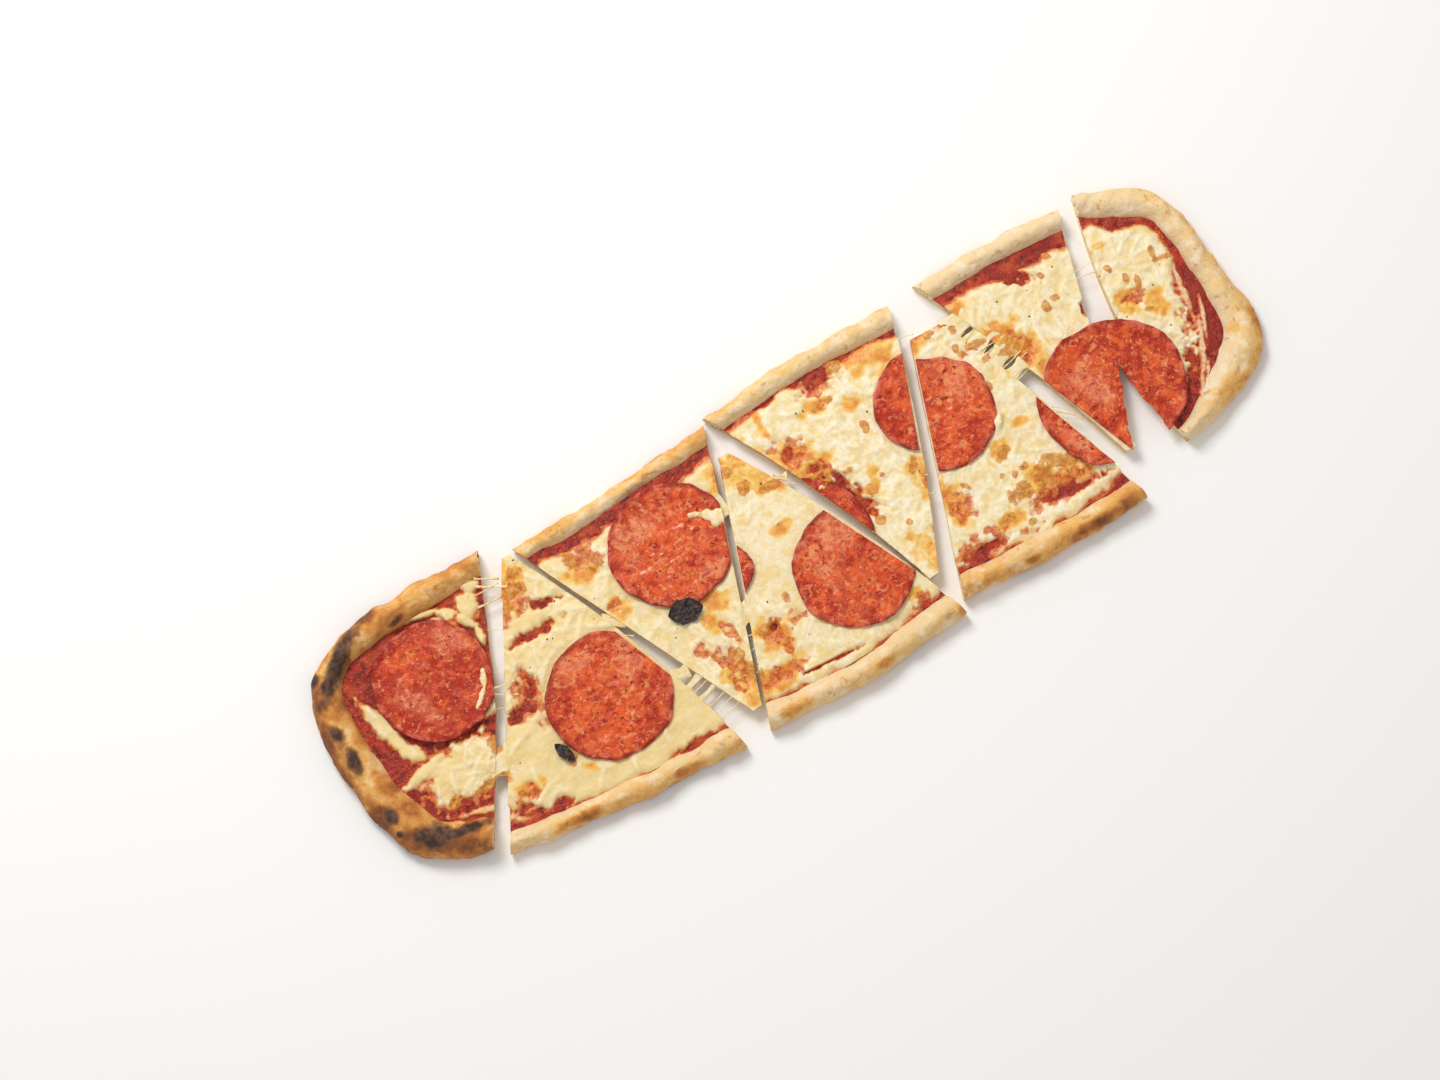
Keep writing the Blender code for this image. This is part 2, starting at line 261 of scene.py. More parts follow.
table_paper, start = new_material("table_paper")
shade = start.noise(900, 1.0).blend(tone(247, 246, 244), tone(251, 250, 248))
finish_material(start, {"Base Color": shade, "Roughness": 0.9})
table.data.materials.append(table_paper)
print("table:", table_paper.name, "with", len(table_paper.node_tree.nodes), "nodes")

# %% [markdown]
# ## Noise, and places on the pizza
#
# Two helpers give unevenness to shapes. The first is smooth noise for whole arrays of points at
# once, which is what makes dough lumpy and cheese wavy. The second says how far inside a set of
# ellipses each point is. Their ragged edges make bare spots, oil, burns and browned spots. All
# sizes are in millimetres. A place on the pizza is read from its middle, as the photograph shows
# it, and MIDDLE is where that point lies in the frame.

# %% Noise and blots
MIDDLE = (-4.5, 9.0)


def lumps(x, y, z, size, seed=0):
    """Smooth noise from -1 to 1, with lumps of about that size."""
    place = np.stack(np.broadcast_arrays(x, y, z), axis=-1) / size + 31.7 * seed
    cell = np.floor(place).astype(np.int64)
    part = place - cell
    part = part**3 * (part * (part * 6 - 15) + 10)
    total = np.zeros(part.shape[:-1])
    for corner in np.ndindex(2, 2, 2):
        number = cell + np.array(corner)
        mixed = number[..., 0] * 374761393 + number[..., 1] * 668265263
        mixed = mixed + number[..., 2] * 2147483647
        mixed = (mixed ^ (mixed >> 13)) * 1274126177
        value = ((mixed ^ (mixed >> 16)) & 0xFFFF) / 32767.5 - 1
        total += value * np.prod(np.where(np.array(corner) == 1, part, 1 - part), axis=-1)
    return total


def ease(value):
    """A smooth step from 0 to 1."""
    value = np.clip(value, 0, 1)
    return value * value * (3 - 2 * value)


def blots(x, y, places, ragged=0.35, grain=5.0, soft=0.35, seed=0):
    """1 inside any ellipse (middle u and v, half length, half width, turn), 0 outside, ragged."""
    result = np.zeros(np.shape(x))
    wander = ragged * (lumps(x, y, 0, grain, seed) + 0.5 * lumps(x, y, 0, grain / 2.3, seed + 1))
    u, v = x - MIDDLE[0], y - MIDDLE[1]
    for centre_u, centre_v, length, width, turned in places:
        c, s = math.cos(math.radians(turned)), math.sin(math.radians(turned))
        along = ((u - centre_u) * c + (v - centre_v) * s) / length
        over = ((v - centre_v) * c - (u - centre_u) * s) / width
        result = np.maximum(result, ease((1 + wander - np.hypot(along, over)) / soft + 0.5))
    return result


print("noise at the middle:", lumps(np.array([0.0]), 0, 0, 5).round(3))

# %% [markdown]
# ## The plan of the slices
#
# These are the driving sizes of the eight slices, the same that the frame's solids were made
# from: the outer crust from one cut to the other, the tip, how far the cuts bow, and the rim,
# with its widths in even steps along the crust and its height. A slice is a fan. A place on it
# has one share along the crust and one from the crust to the tip, so both cuts are edges of the
# grid and every layer ends exactly at them.

# %% The slices
SLICES = {
    "slice_1": {
        "crust": ((-142, 69), (-175.5, 69), (-209.5, 66.5), (-236.5, 57), (-250.5, 39), (-254, 9),
                  (-250.5, -24), (-240.5, -49), (-224.5, -62), (-206, -66.5)),
        "tip": (-170.5, -3), "tip_width": 5, "bows": (0, 0),
        "rim": ((12.5, 15.5, 13.5, 18.5, 19.5, 21.5, 15), 14.5),
    },
    "slice_2": {
        "crust": ((-199.5, -73), (-135.5, -79.5), (-71.5, -82)),
        "tip": (-131.5, 59), "tip_width": 3, "bows": (0, 5), "rim": ((11.5, 11, 12), 11.5),
    },
    "slice_3": {
        "crust": ((-126.5, 61), (-70.5, 64), (-12.5, 70)),
        "tip": (-58, -68), "tip_width": 4, "bows": (0, 0), "rim": ((9, 9.5, 10), 10.5),
    },
    "slice_4": {
        "crust": ((-57.5, -81), (-4.5, -84), (56.5, -77)),
        "tip": (-11.5, 51), "tip_width": 4, "bows": (0, 4), "rim": ((14, 13.5, 14), 12.5),
    },
    "slice_5": {
        "crust": ((-11.5, 73), (42.5, 78), (98.5, 78)),
        "tip": (51, -53), "tip_width": 4, "bows": (-4, 3), "rim": ((11.5, 11.5, 12), 11.5),
    },
    "slice_6": {
        "crust": ((58.5, -71), (110.5, -73), (164.5, -71)),
        "tip": (108.5, 57), "tip_width": 17, "bows": (0, 3), "rim": ((13.5, 13, 13), 13),
    },
    "slice_7": {
        "crust": ((114.5, 81), (156.5, 82.5), (198.5, 80)),
        "tip": (169, -45), "tip_width": 4, "bows": (-3, -3), "rim": ((12, 12, 12), 11.5),
    },
    "slice_8": {
        "crust": ((209, 83), (231, 73.5), (248.5, 59), (255, 22.5), (259.5, -18.5), (247.5, -38),
                  (222, -50), (197.5, -56)),
        "tip": (196.5, 14), "tip_width": 5, "bows": (1.5, 5),
        "rim": ((13, 14, 11, 14.5, 20.5, 14.5, 8), 12.5),
    },
}
print("slices:", list(SLICES))

# %% [markdown]
# ## Asking a slice for places
#
# A smooth curve runs through the few crust points. The plan of a slice then turns two shares
# into a place, for whole arrays at once. Each layer asks it for its grid, so all the layers of
# a slice fit each other.

# %% The plan of one slice
ROUND_COLUMNS, WEDGE_COLUMNS = 231, 121  # how finely a slice is divided along its crust


def smooth_curve(points, share):
    """Points a share of the way along a smooth curve through the points, and its direction."""
    points = np.array(points, float)
    spans = len(points) - 1
    place = np.clip(np.asarray(share, float) * spans, 0, spans - 1e-6)
    k = place.astype(int)
    f = (place - k)[..., None]
    padded = np.vstack([2 * points[0] - points[1], points, 2 * points[-1] - points[-2]])
    p0, p1, p2, p3 = (padded[k + n] for n in range(4))
    b, c, d = p2 - p0, 2 * p0 - 5 * p1 + 4 * p2 - p3, 3 * p1 - p0 - 3 * p2 + p3
    return 0.5 * (2 * p1 + b * f + c * f**2 + d * f**3), 0.5 * (b + 2 * c * f + 3 * d * f**2)


class Slice:
    """The plan of one slice, for whole arrays of places at once."""

    def __init__(self, name, spec):
        self.name = name
        self.spec = spec
        self.number = int(name[-1])
        self.round = len(spec["crust"]) > 3  # an end slice, whose crust goes round
        tip = np.array(spec["tip"], float)
        start, end = np.array(spec["crust"][0], float), np.array(spec["crust"][-1], float)
        step = (end - start) / np.linalg.norm(end - start) * spec["tip_width"] / 2
        self.corners = (start, end)
        self.tips = (tip - step, tip + step)
        middle = (start + end + tip) / 3
        self.outward = [self.cut_normal(cut, middle) for cut in (0, 1)]

    def cut_normal(self, cut, middle):
        """Level, square to a cut, and pointing out of the slice."""
        along = self.tips[cut] - self.corners[cut]
        normal = np.array([along[1], -along[0]]) / np.linalg.norm(along)
        return normal if normal @ (self.corners[cut] - middle) > 0 else -normal

    def rays(self, s):
        """The crust points, the tip points opposite, and the depths between them."""
        edge, direction = smooth_curve(self.spec["crust"], s)
        inner = self.tips[0] + (self.tips[1] - self.tips[0]) * s[..., None]
        normal = np.stack([direction[..., 1], -direction[..., 0]], axis=-1)
        normal /= np.linalg.norm(normal, axis=-1, keepdims=True)
        return edge, inner, np.abs(((edge - inner) * normal).sum(axis=-1))

    def place(self, s, t):
        """The points at shares s along the crust (one each) and t towards the tip (a row each)."""
        edge, inner, _ = self.rays(s)
        bows = self.spec["bows"]
        bow = self.outward[0] * bows[0] * (1 - s[:, None]) + self.outward[1] * bows[1] * s[:, None]
        t = t[..., None]
        return edge[:, None] * (1 - t) + inner[:, None] * t + bow[:, None] * 4 * t * (1 - t)

    def rim_width(self, s):
        """How wide the rim is at shares s along the crust."""
        return smooth_curve([(width, 0) for width in self.spec["rim"][0]], s)[0][..., 0]

    def inside_rim(self, s, extra, rows):
        """Shares towards the tip from extra millimetres inside the rim's foot, in even rows."""
        outer = (self.rim_width(s) + extra) / self.rays(s)[2]
        return outer[:, None] + (1 - outer[:, None]) * rows[None, :]

    def columns(self):
        """The shares along the crust where a grid has its columns."""
        return np.linspace(0, 1, ROUND_COLUMNS if self.round else WEDGE_COLUMNS)


plans = [Slice(name, spec) for name, spec in SLICES.items()]
print("plans:", sum(plan.round for plan in plans), "round ends of", len(plans))

# %% [markdown]
# ## From grids of points to one closed piece
#
# Each layer of a slice is built from grids: its top, its cut faces and its tip. A last flat
# face closes it below. Neighbouring grids share their edge points exactly, so merging doubled
# points closes the piece. Values such as how charred a point is ride along as attributes.

# %% Building closed pieces
CENTRE = np.array([2.85, -0.55, 0.0])  # the middle of the plan, which goes to the origin
WELD_GAP = 0.002  # millimetres: points closer than this are one
SIDES = (np.s_[:, 0], np.s_[-1, :], np.s_[::-1, -1], np.s_[0, ::-1])  # a grid's edges, in turn


def metres(points):
    """Points on the plan in millimetres, as places in metres."""
    return (np.asarray(points) - CENTRE) * MM


def grid_quads(columns, rows, first):
    """The corner numbers of the quads between columns by rows of points."""
    n = first + np.arange(columns * rows).reshape(columns, rows)
    return np.stack([n[:-1, :-1], n[1:, :-1], n[1:, 1:], n[:-1, 1:]], axis=-1).reshape(-1, 4)


def weld(mesh):
    """Merges doubled points, and turns every face outwards."""
    bm = bmesh.new()
    bm.from_mesh(mesh)
    bmesh.ops.remove_doubles(bm, verts=bm.verts, dist=WELD_GAP * MM)
    bm.normal_update()
    bmesh.ops.recalc_face_normals(bm, faces=bm.faces)
    open_edges = sum(edge.is_boundary for edge in bm.edges)
    bm.to_mesh(mesh)
    bm.free()
    return open_edges


def build(name, grids, floor, values, material, sharp=50):
    """A closed piece from grids of points (columns, rows, 3), a floor outline and attributes.

    values gives each attribute by name, with one array for each grid.
    """
    points, faces, first = [], [], 0
    for grid in grids:
        points.append(grid.reshape(-1, 3))
        faces += grid_quads(grid.shape[0], grid.shape[1], first).tolist()
        first += len(points[-1])
    if floor is not None:
        points.append(floor)
        faces.append(list(range(first, first + len(floor))))
    mesh = bpy.data.meshes.new(name)
    mesh.from_pydata(metres(np.concatenate(points)).tolist(), [], faces)
    for value_name, arrays in values.items():
        flat = [np.broadcast_to(a, g.shape[:2]).reshape(-1) for a, g in zip(arrays, grids)]
        if floor is not None:
            flat.append(np.zeros(len(floor)))
        attribute = mesh.attributes.new(value_name, "FLOAT", "POINT")
        attribute.data.foreach_set("value", np.concatenate(flat).astype(np.float32))
    open_edges = weld(mesh)
    mesh.shade_smooth()
    mesh.set_sharp_from_angle(angle=math.radians(sharp))
    mesh.materials.append(material)
    item = bpy.data.objects.new(name, mesh)
    bpy.context.scene.collection.objects.link(item)
    if open_edges:
        print(name, "has", open_edges, "open edges")
    return item


def wall(edge, floor, levels):
    """A grid from an edge's points down to floor points."""
    k = np.linspace(0, 1, levels + 1)[None, :, None]
    return edge[:, None] * (1 - k) + floor[:, None] * k


def sheet(upper, lower):
    """The six grids of a thin closed sheet: its two faces, and a wall along each edge."""
    return [upper, lower, *(wall(upper[side], lower[side], 1) for side in SIDES)]


print("a grid of 3 by 3 points has", len(grid_quads(3, 3, 0)), "quads")

# %% [markdown]
# ## The bread
#
# Heat marks a crust unevenly. The left end sat deepest in the oven, so its bubbles burnt, while
# the right end stayed floury. Each slice has a level of gold, noise breaks it up, and ellipses
# mark the places that scorched or burnt. Both values are stored on the mesh's points, so they
# follow the dough's real shape and the material only has to read them.

# %% Where the bread is burnt and browned
CHAR = (
    (-226.5, 41, 19, 4.2, 40), (-240, 41, 4, 3, 20), (-241.6, 10.9, 3, 5, 0),
    (-240.3, -4.4, 2.9, 6, -8), (-237.4, -36.3, 3.4, 4.2, 0), (-237.7, -46.7, 1.8, 1.8, 0),
    (-223, -56, 9.5, 5.5, -25), (-207, -60.5, 11, 2.6, -10), (-189.6, 47.4, 4.2, 1.5, 13),
)
SCORCH = (
    (-240, 34, 7, 8, 0), (-248, 3, 3, 24, 0), (-243, -38, 4, 10, 0), (-220, -60, 20, 5, -25),
    (-190, 49, 7, 4, 12), (-203, 57, 5, 3, 0), (-158, -82, 8, 2.5, 0), (-149, -83, 4, 3, 20),
    (-39, -86, 7, 2.6, 0), (140, -79, 15, 3, 0), (247.7, -25.5, 4, 3, 40),
    (233, -51.3, 18, 5.5, 15), (261.6, -29.6, 3, 8, 0), (20, 69, 3, 1.3, 0), (102, -79, 3, 1.6, 0),
    (62, -84, 4, 3, 0), (-100, -87, 6, 2, 0), (14, -88, 5, 2, 0), (-229, -24, 5, 3, 0),
    (-234.2, 25, 4, 6, 0), (-233, 4.1, 3, 5, 0), (-234, -20, 3, 7, 10), (-228, -36, 4, 6, 40),
    (-206, -61, 9, 4, -10),
)
# How golden the crust of each slice is, from 0, pale and floury, to 1, well baked. It can pass
# 1 where it scorched.
GOLDEN = {1: 0.70, 2: 0.38, 3: 0.52, 4: 0.30, 5: 0.34, 6: 0.66, 7: 0.14, 8: 0.15}


def bake_values(grid, number):
    """How golden and how charred the crust is at each point of a grid."""
    x, y, z = np.moveaxis(grid, -1, 0)
    uneven = 0.35 * lumps(x, y, z, 26, 3) + 0.25 * lumps(x, y, z, 9, 4)
    uneven = uneven + 0.12 * lumps(x, y, z, 3, 5)
    low = 0.30 * ease((6 - z) / 5) * (1 + 2 * uneven)  # it browns near the oven's floor
    golden = GOLDEN[number] * (1 + uneven) + low + 0.42 * blots(x, y, SCORCH, 0.5, 5, 1.5, 5)
    if number == 8:  # its far corner stood nearer the fire
        golden += 0.24 * ease((x - 228) / 24)
    char = blots(x, y, CHAR, 0.3, 4, 1.6, 7)
    return np.clip(golden, 0, 1.3), char


print("crust:", len(CHAR), "burnt places,", len(SCORCH), "scorched places")

# %% [markdown]
# ## The shape of the bread
#
# The rim of a pizza is a loose roll of dough: rounded outside, highest in its outer half, and
# falling steeply to the flat base. We run that section along the crust and push the surface in
# and out with noise of several sizes, so it looks risen and not turned on a lathe. Burnt places
# are raised as well, because they were bubbles. A cut shows the crumb, so the cut faces are
# pitted with pores.

# %% Making the bread of one slice
BASE_TOP = 5.0
RIM_ROWS = 38
# The rim from outside to its inner foot: shares of its width and of its height.
RIM_SECTION = (
    (0.20, 0.00), (0.05, 0.12), (0.00, 0.33), (0.05, 0.60), (0.20, 0.85),
    (0.43, 1.00), (0.67, 0.94), (0.88, 0.70), (1.00, 0.42),
)
# How much paler the rim is inside, as painted light on its shaded inner slope, and how much
# browner it is outside. The burnt end has its own values.
INSIDE_PAINTED_LIGHT, BURNT_END_PAINTED_LIGHT = 0.5, 0.2
OUTSIDE_BROWNER, BURNT_END_BROWNER = 0.10, 0.16


def bread_top(plan):
    """The upper surface of the bread, from its foot outside, over the rim, to the tip."""
    s = plan.columns()
    section = smooth_curve(RIM_SECTION, np.linspace(0, 1, RIM_ROWS))[0]
    edge = plan.place(s, np.zeros((len(s), 1)))[:, 0]
    x, y = edge[:, 0], edge[:, 1]
    puff = 1 + 0.09 * lumps(x, y, 0, 24, plan.number) + 0.05 * lumps(x, y, 0, 9, 2)
    width = plan.rim_width(s) * (1 + 0.10 * lumps(x, y, 0, 13, 6))
    share = section[:, 0][None, :] * (width / plan.rays(s)[2])[:, None]
    high = np.maximum(section[:, 1][None, :] * plan.spec["rim"][1] * puff[:, None], 0)
    high[:, -1] = BASE_TOP
    inner = share[:, -1:] + (1 - share[:, -1:]) * np.array([0.2, 0.4, 0.6, 0.8, 1.0])[None, :]
    share = np.hstack([share, inner])
    high = np.hstack([high, np.full(inner.shape, BASE_TOP)])
    top = np.dstack([plan.place(s, share), high])

    slope_s, slope_t = np.gradient(top, axis=0), np.gradient(top, axis=1)
    normal = np.cross(slope_s, slope_t)
    normal /= np.linalg.norm(normal, axis=-1, keepdims=True) + 1e-9
    normal *= np.sign(normal[:, RIM_ROWS // 2, 2].mean())
    x, y, z = np.moveaxis(top, -1, 0)
    window = np.zeros(top.shape[1])
    window[:RIM_ROWS] = np.sin(np.linspace(0, math.pi, RIM_ROWS)) ** 0.5
    swell = 1.15 * lumps(x, y, z, 13, 11) + 0.7 * lumps(x, y, z, 5.5, 12)
    swell += 0.28 * lumps(x, y, z, 2.4, 13)
    char = bake_values(top, plan.number)[1]
    swell += 1.3 * char - 0.5 * ease(1 - np.abs(lumps(x, y, z, 8, 14)) / 0.09) * (1 - char)
    top = top + normal * (swell * window[None, :])[..., None]
    top[..., 2] = np.maximum(top[..., 2], 0)
    return top


def floor_under(edge):
    """The points on the floor below a cut's upper edge, in even steps under the rim."""
    foot = edge.copy()
    even = np.linspace(0, 1, RIM_ROWS)[:, None]
    foot[:RIM_ROWS] = edge[0] * (1 - even) + edge[RIM_ROWS - 1] * even
    foot[:, 2] = 0
    return foot


def inside(grid):
    """1 within a cut face, falling to 0 at its border, so that its border stays in place."""
    count = np.arange(len(grid))
    from_ends = np.minimum(count, len(grid) - 1 - count)
    down = np.linspace(0, 1, grid.shape[1])[None, :]
    return np.sin(math.pi * down) ** 0.4 * np.clip(from_ends / 3, 0, 1)[:, None]


def cut_face(edge, outward):
    """A cut through the bread, pitted with pores of two sizes."""
    grid = wall(edge, floor_under(edge), 10)
    x, y, z = np.moveaxis(grid, -1, 0)
    big = ease((lumps(x, y, z, 2.6, 21) - 0.12) / 0.25)
    small = ease((lumps(x, y, z, 1.3, 22) - 0.15) / 0.3)
    depth = -0.9 * big - 0.4 * small + 0.3 * lumps(x, y, z, 7, 23)
    return grid + np.append(outward, 0.0) * (depth * inside(grid))[..., None]


def make_bread(plan, material):
    """The bread of one slice: its top, two cut faces, its tip and a flat underside."""
    top = bread_top(plan)
    cuts = [cut_face(top[column], plan.outward[column]) for column in (0, -1)]
    tip_floor = top[:, -1] * (1, 1, 0)
    tip = wall(top[:, -1], tip_floor, 10)
    floor = np.concatenate(
        [top[:, 0], cuts[1][1:, -1], tip_floor[::-1][1:], cuts[0][1:-1, -1][::-1]]
    )
    bakes = [bake_values(grid, plan.number) for grid in (top, *cuts, tip)]
    row = np.arange(top.shape[1]) / RIM_ROWS
    burnt_end = plan.number == 1
    # Painted light: the rim's inner slope is made paler, to lift it out of its shade.
    painted_light_inside = (BURNT_END_PAINTED_LIGHT if burnt_end else INSIDE_PAINTED_LIGHT) * ease((row - 0.5) / 0.4)
    browner = (BURNT_END_BROWNER if burnt_end else OUTSIDE_BROWNER) * ease(1 - row / 0.55)
    golden_top = bakes[0][0]
    golden_top *= 1 - painted_light_inside
    golden_top += browner
    values = {
        "golden": [golden for golden, _ in bakes],
        "char": [char for _, char in bakes],
        "crumb": [0.0] + [inside(cut) ** 0.5 for cut in cuts] + [1.0],
    }
    item = build(plan.name.replace("slice", "bread"), [top, *cuts, tip], floor, values, material)
    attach(item, "root")
    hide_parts(plan.name + "_bread")
    return item


print("rim section:", len(RIM_SECTION), "points")

# %% [markdown]
# ## The finish of the bread
#
# Baked dough goes from floury white through gold to brown, and burnt bubbles are nearly black
# with an ashy bloom. A colour ramp holds those steps, and the golden attribute, broken up by
# fine noise, picks from it. The crumb inside a cut is paler and moister. The underside lay on
# the oven's floor, so it is browned in freckles.

# %% The bread's material
bread_finish, start = new_material("baked_dough")
golden = start.attribute("golden") + (start.noise(2.2, 4.0, 0.65) - 0.5) * 0.40
golden = golden + (start.noise(0.6, 2.0) - 0.5) * 0.16
golden = golden + (start.noise(6.5, 4.0, 0.6) - 0.5) * 0.42
crust_colour = golden.node(
    "ShaderNodeValToRGB",
    {
        "stops": (
            (0.00, tone(236, 212, 174)),
            (0.18, tone(238, 205, 150)),
            (0.35, tone(236, 181, 100)),
            (0.53, tone(208, 136, 62)),
            (0.74, tone(148, 84, 38)),
            (1.00, tone(88, 46, 24)),
        )
    },
    {"Fac": golden * 0.7},
)
flour = start.noise(7.5, 5.0, 0.65).above(0.50, 0.64) * golden.above(0.75, 0.30)
crust_colour = (flour * 0.55).blend(crust_colour, tone(247, 230, 204))
spots = start.noise(4.5, 1.0).above(0.66, 0.74)
crust_colour = (spots * 0.5).blend(crust_colour, tone(190, 120, 62))
burnt = start.attribute("char") + (start.noise(2.6, 4.0, 0.6) - 0.5) * 0.6
ash = start.noise(3.6, 4.0, 0.6).above(0.40, 0.68)
char_colour = ash.blend(tone(44, 27, 19), tone(98, 66, 48))
dough_colour = (burnt.above(0.08, 0.50) * 0.8).blend(crust_colour, tone(132, 80, 44))
dough_colour = (burnt.above(0.38, 0.86) * 0.94).blend(dough_colour, char_colour)
# Painted shade in the crumb's pores: darker in the middle of each cell.
pore_shade = start.cells(1.9).above(0.10, 0.42)
crumb_colour = pore_shade.blend(tone(205, 160, 104), tone(245, 224, 180))
crumb_edge = start.attribute("crumb") + (start.noise(1.5) - 0.5) * 0.5
dough_colour = crumb_edge.above(0.35, 0.75).blend(dough_colour, crumb_colour)
normal = start.node("ShaderNodeNewGeometry", output="Normal")
facing_up = start.node("ShaderNodeSeparateXYZ", None, {0: normal}, "Z")
freckles = (start.noise(7, 3.0, 0.6) * 0.6 + start.noise(2.5, 2.0) * 0.4).above(0.44, 0.60)
under_colour = freckles.blend(tone(226, 184, 122), tone(150, 92, 46))
dough_colour = (facing_up * -1.0).above(0.80, 0.95).blend(dough_colour, under_colour)
relief = (start.noise(0.9, 4.0, 0.6) + start.noise(3.5, 3.0, 0.6) * 2.0).bump(0.35)
rough = burnt.above(0.3, 0.7) * -0.12 + 0.86
finish_material(start, {"Base Color": dough_colour, "Roughness": rough, "Normal": relief})

breads = [make_bread(plan, bread_finish) for plan in plans]
print("bread:", sum(len(b.data.polygons) for b in breads), "faces")

# %% [markdown]
# ## Sauce and cheese as fields
#
# Both layers are heights over the slice. The cheese has a cover from 0 to 1. Where it is 1 the
# cheese is thick, and where it is 0 its surface dips under the sauce, which then shows. Bare,
# thin, stained and browned spots are lists of ellipses, read off the photograph one by one:
# middle u and v, half length, half width, and turn. Their edges are made ragged by noise.

# %% Where the toppings are bare, thin, stained and browned
# Bare: the sauce shows.
BARE = (
    (-122, 21, 9.5, 2.6, -12), (-134, 9.5, 14, 2.8, 0), (-148, -12, 4, 8, 5), (-160, -24, 4, 5, 20),
    (-152, -22, 4, 4, 0), (-177, -66, 9, 3.5, -20), (-160, -71, 6, 3, 0), (-88, -78, 11, 2.4, 0),
    (44, -73, 3, 4, 0), (-8, -74.5, 14, 0.9, -3), (52, 53, 9, 4.5, 0), (37, -6, 7, 20, 22),
    (140, -57, 17, 4, 0), (83, -63, 12, 3, 0), (-27, -46, 2.5, 2, 0), (22, 27, 2.5, 3, 0),
    (163.4, 52.7, 13, 4, -38), (189.3, 18.1, 2, 5, 0), (239.5, -11, 9.5, 22, -14),
    (232.6, -29.6, 10, 18, -35), (217.5, -44.8, 9, 14, -35),
)
# Stained: a lumpy film of cheese that took the sauce's colour.
STAINED = (
    (143.6, 28.3, 9, 2.0, -8), (143.6, 28.3, 7, 1.4, -8), (214.1, 15.1, 7, 2.0, 15),
    (-93, 30, 8, 8.5, 0), (-55, -46, 6, 7, 30), (-47, -38, 3, 9, 10), (-52, -58, 6, 8, 0),
    (-28, -49, 8, 6, -35), (-24, -58, 6, 4, 0), (-14, -46, 5, 4, 0), (44, -71, 5, 6, 0),
    (24, 25, 11, 9, -35), (35, 11, 3, 8, 10), (-33, -68, 12, 5, 0), (83, -38, 7, 10, 20),
    (77, -20, 3, 10, 0), (83, -60, 16, 6, 0), (135, -53, 22, 7, 0), (148.2, 15.1, 9, 8, 0),
    (131, 28, 8, 3, 0), (-150, -20, 10, 12, 0), (-132, 30, 6, 8, 0), (-140, 22, 5, 4, 0),
    (-172, -60, 9, 4, 0), (-188, -48, 16, 3.5, 0), (-108, 50, 8, 3, 0), (52, 49, 10, 4, 0),
    (215.1, 13.1, 5, 5, 0), (46, 40, 4, 3, 0), (104, 49, 6, 3, 0), (112, -66, 7, 3, 0),
    (161.7, -1.2, 5, 4, 0), (-64, -40, 5, 4, 0), (120, 50, 4, 4, 0), (68, -46, 3, 6, 0),
    (-90, 3, 5, 3, 0),
)
# On the first slice it is the other way round: cheese lies only here.
CHEESE_PATCHES = (
    (-192, -34, 22, 13, 4), (-219, 1, 19, 4.2, -73), (-214, -13, 7, 4, -50),
    (-212, -25, 14, 2.8, 14), (-155, 38, 5, 7, 0), (-168, -11, 8, 3.4, 35),
    (-178, 44.5, 9, 1.8, -10), (-150, 46, 4, 3, 0), (-166, 39.5, 6, 2, -32),
    (-159, 31, 6, 2.2, -58), (-156.5, 22, 2, 5, 0),
)
# Thin: the cheese let oil and sauce shine through.
THIN = (
    (-8, 33, 16, 12, 0), (5, 22, 11, 7, -20), (-132, 40, 11, 10, 0), (-135, 29, 9, 6, 0),
    (-172, -58, 8, 5, 0), (-140, -62, 6, 3, -15), (-108, 44, 11, 4, -10), (-46, -20, 8, 6, 0),
    (-52, -32, 7, 8, 0), (-55, -55, 9, 10, 0), (-50, -67, 7, 10, 0), (-95, 24, 11, 5, 0),
    (1, -4, 8, 4, 0), (-35, -68, 14, 6, 0), (8, 18, 8, 4, 0), (42, -66, 7, 5, 0),
    (-28, -50, 10, 9, -30), (82, 50, 16, 8, 0), (17, 45, 2.4, 9, 0), (54, 0, 4, 6, 0),
    (62, 34, 7, 4, 0), (25, 22, 14, 10, -30), (57, -48, 8, 11, 0), (46, 41, 9, 4, 0),
    (75, -10, 5, 9, -30), (50, -9, 4, 3, 0), (105, 46, 9, 7, 0), (80, -33, 9, 15, 10),
    (125, -46, 12, 8, 0), (115, -24, 6, 6, 0), (104, -56, 7, 5, 0), (140, -50, 15, 6, 0),
    (149.2, 15.1, 13, 11, 0), (142.7, 30.3, 11, 5, 0), (131.3, 49.6, 6, 8, 0),
    (156.9, 4.9, 6, 8, 0), (223, 5, 7, 6, 0), (211.4, 43.6, 6, 3, 0), (210, 11.1, 6, 7, 0),
    (131, -15, 8, 3, 0), (-187, -46, 14, 3, 0), (-205, -47, 6, 4, 0), (-90, 0, 6, 6, 0),
)
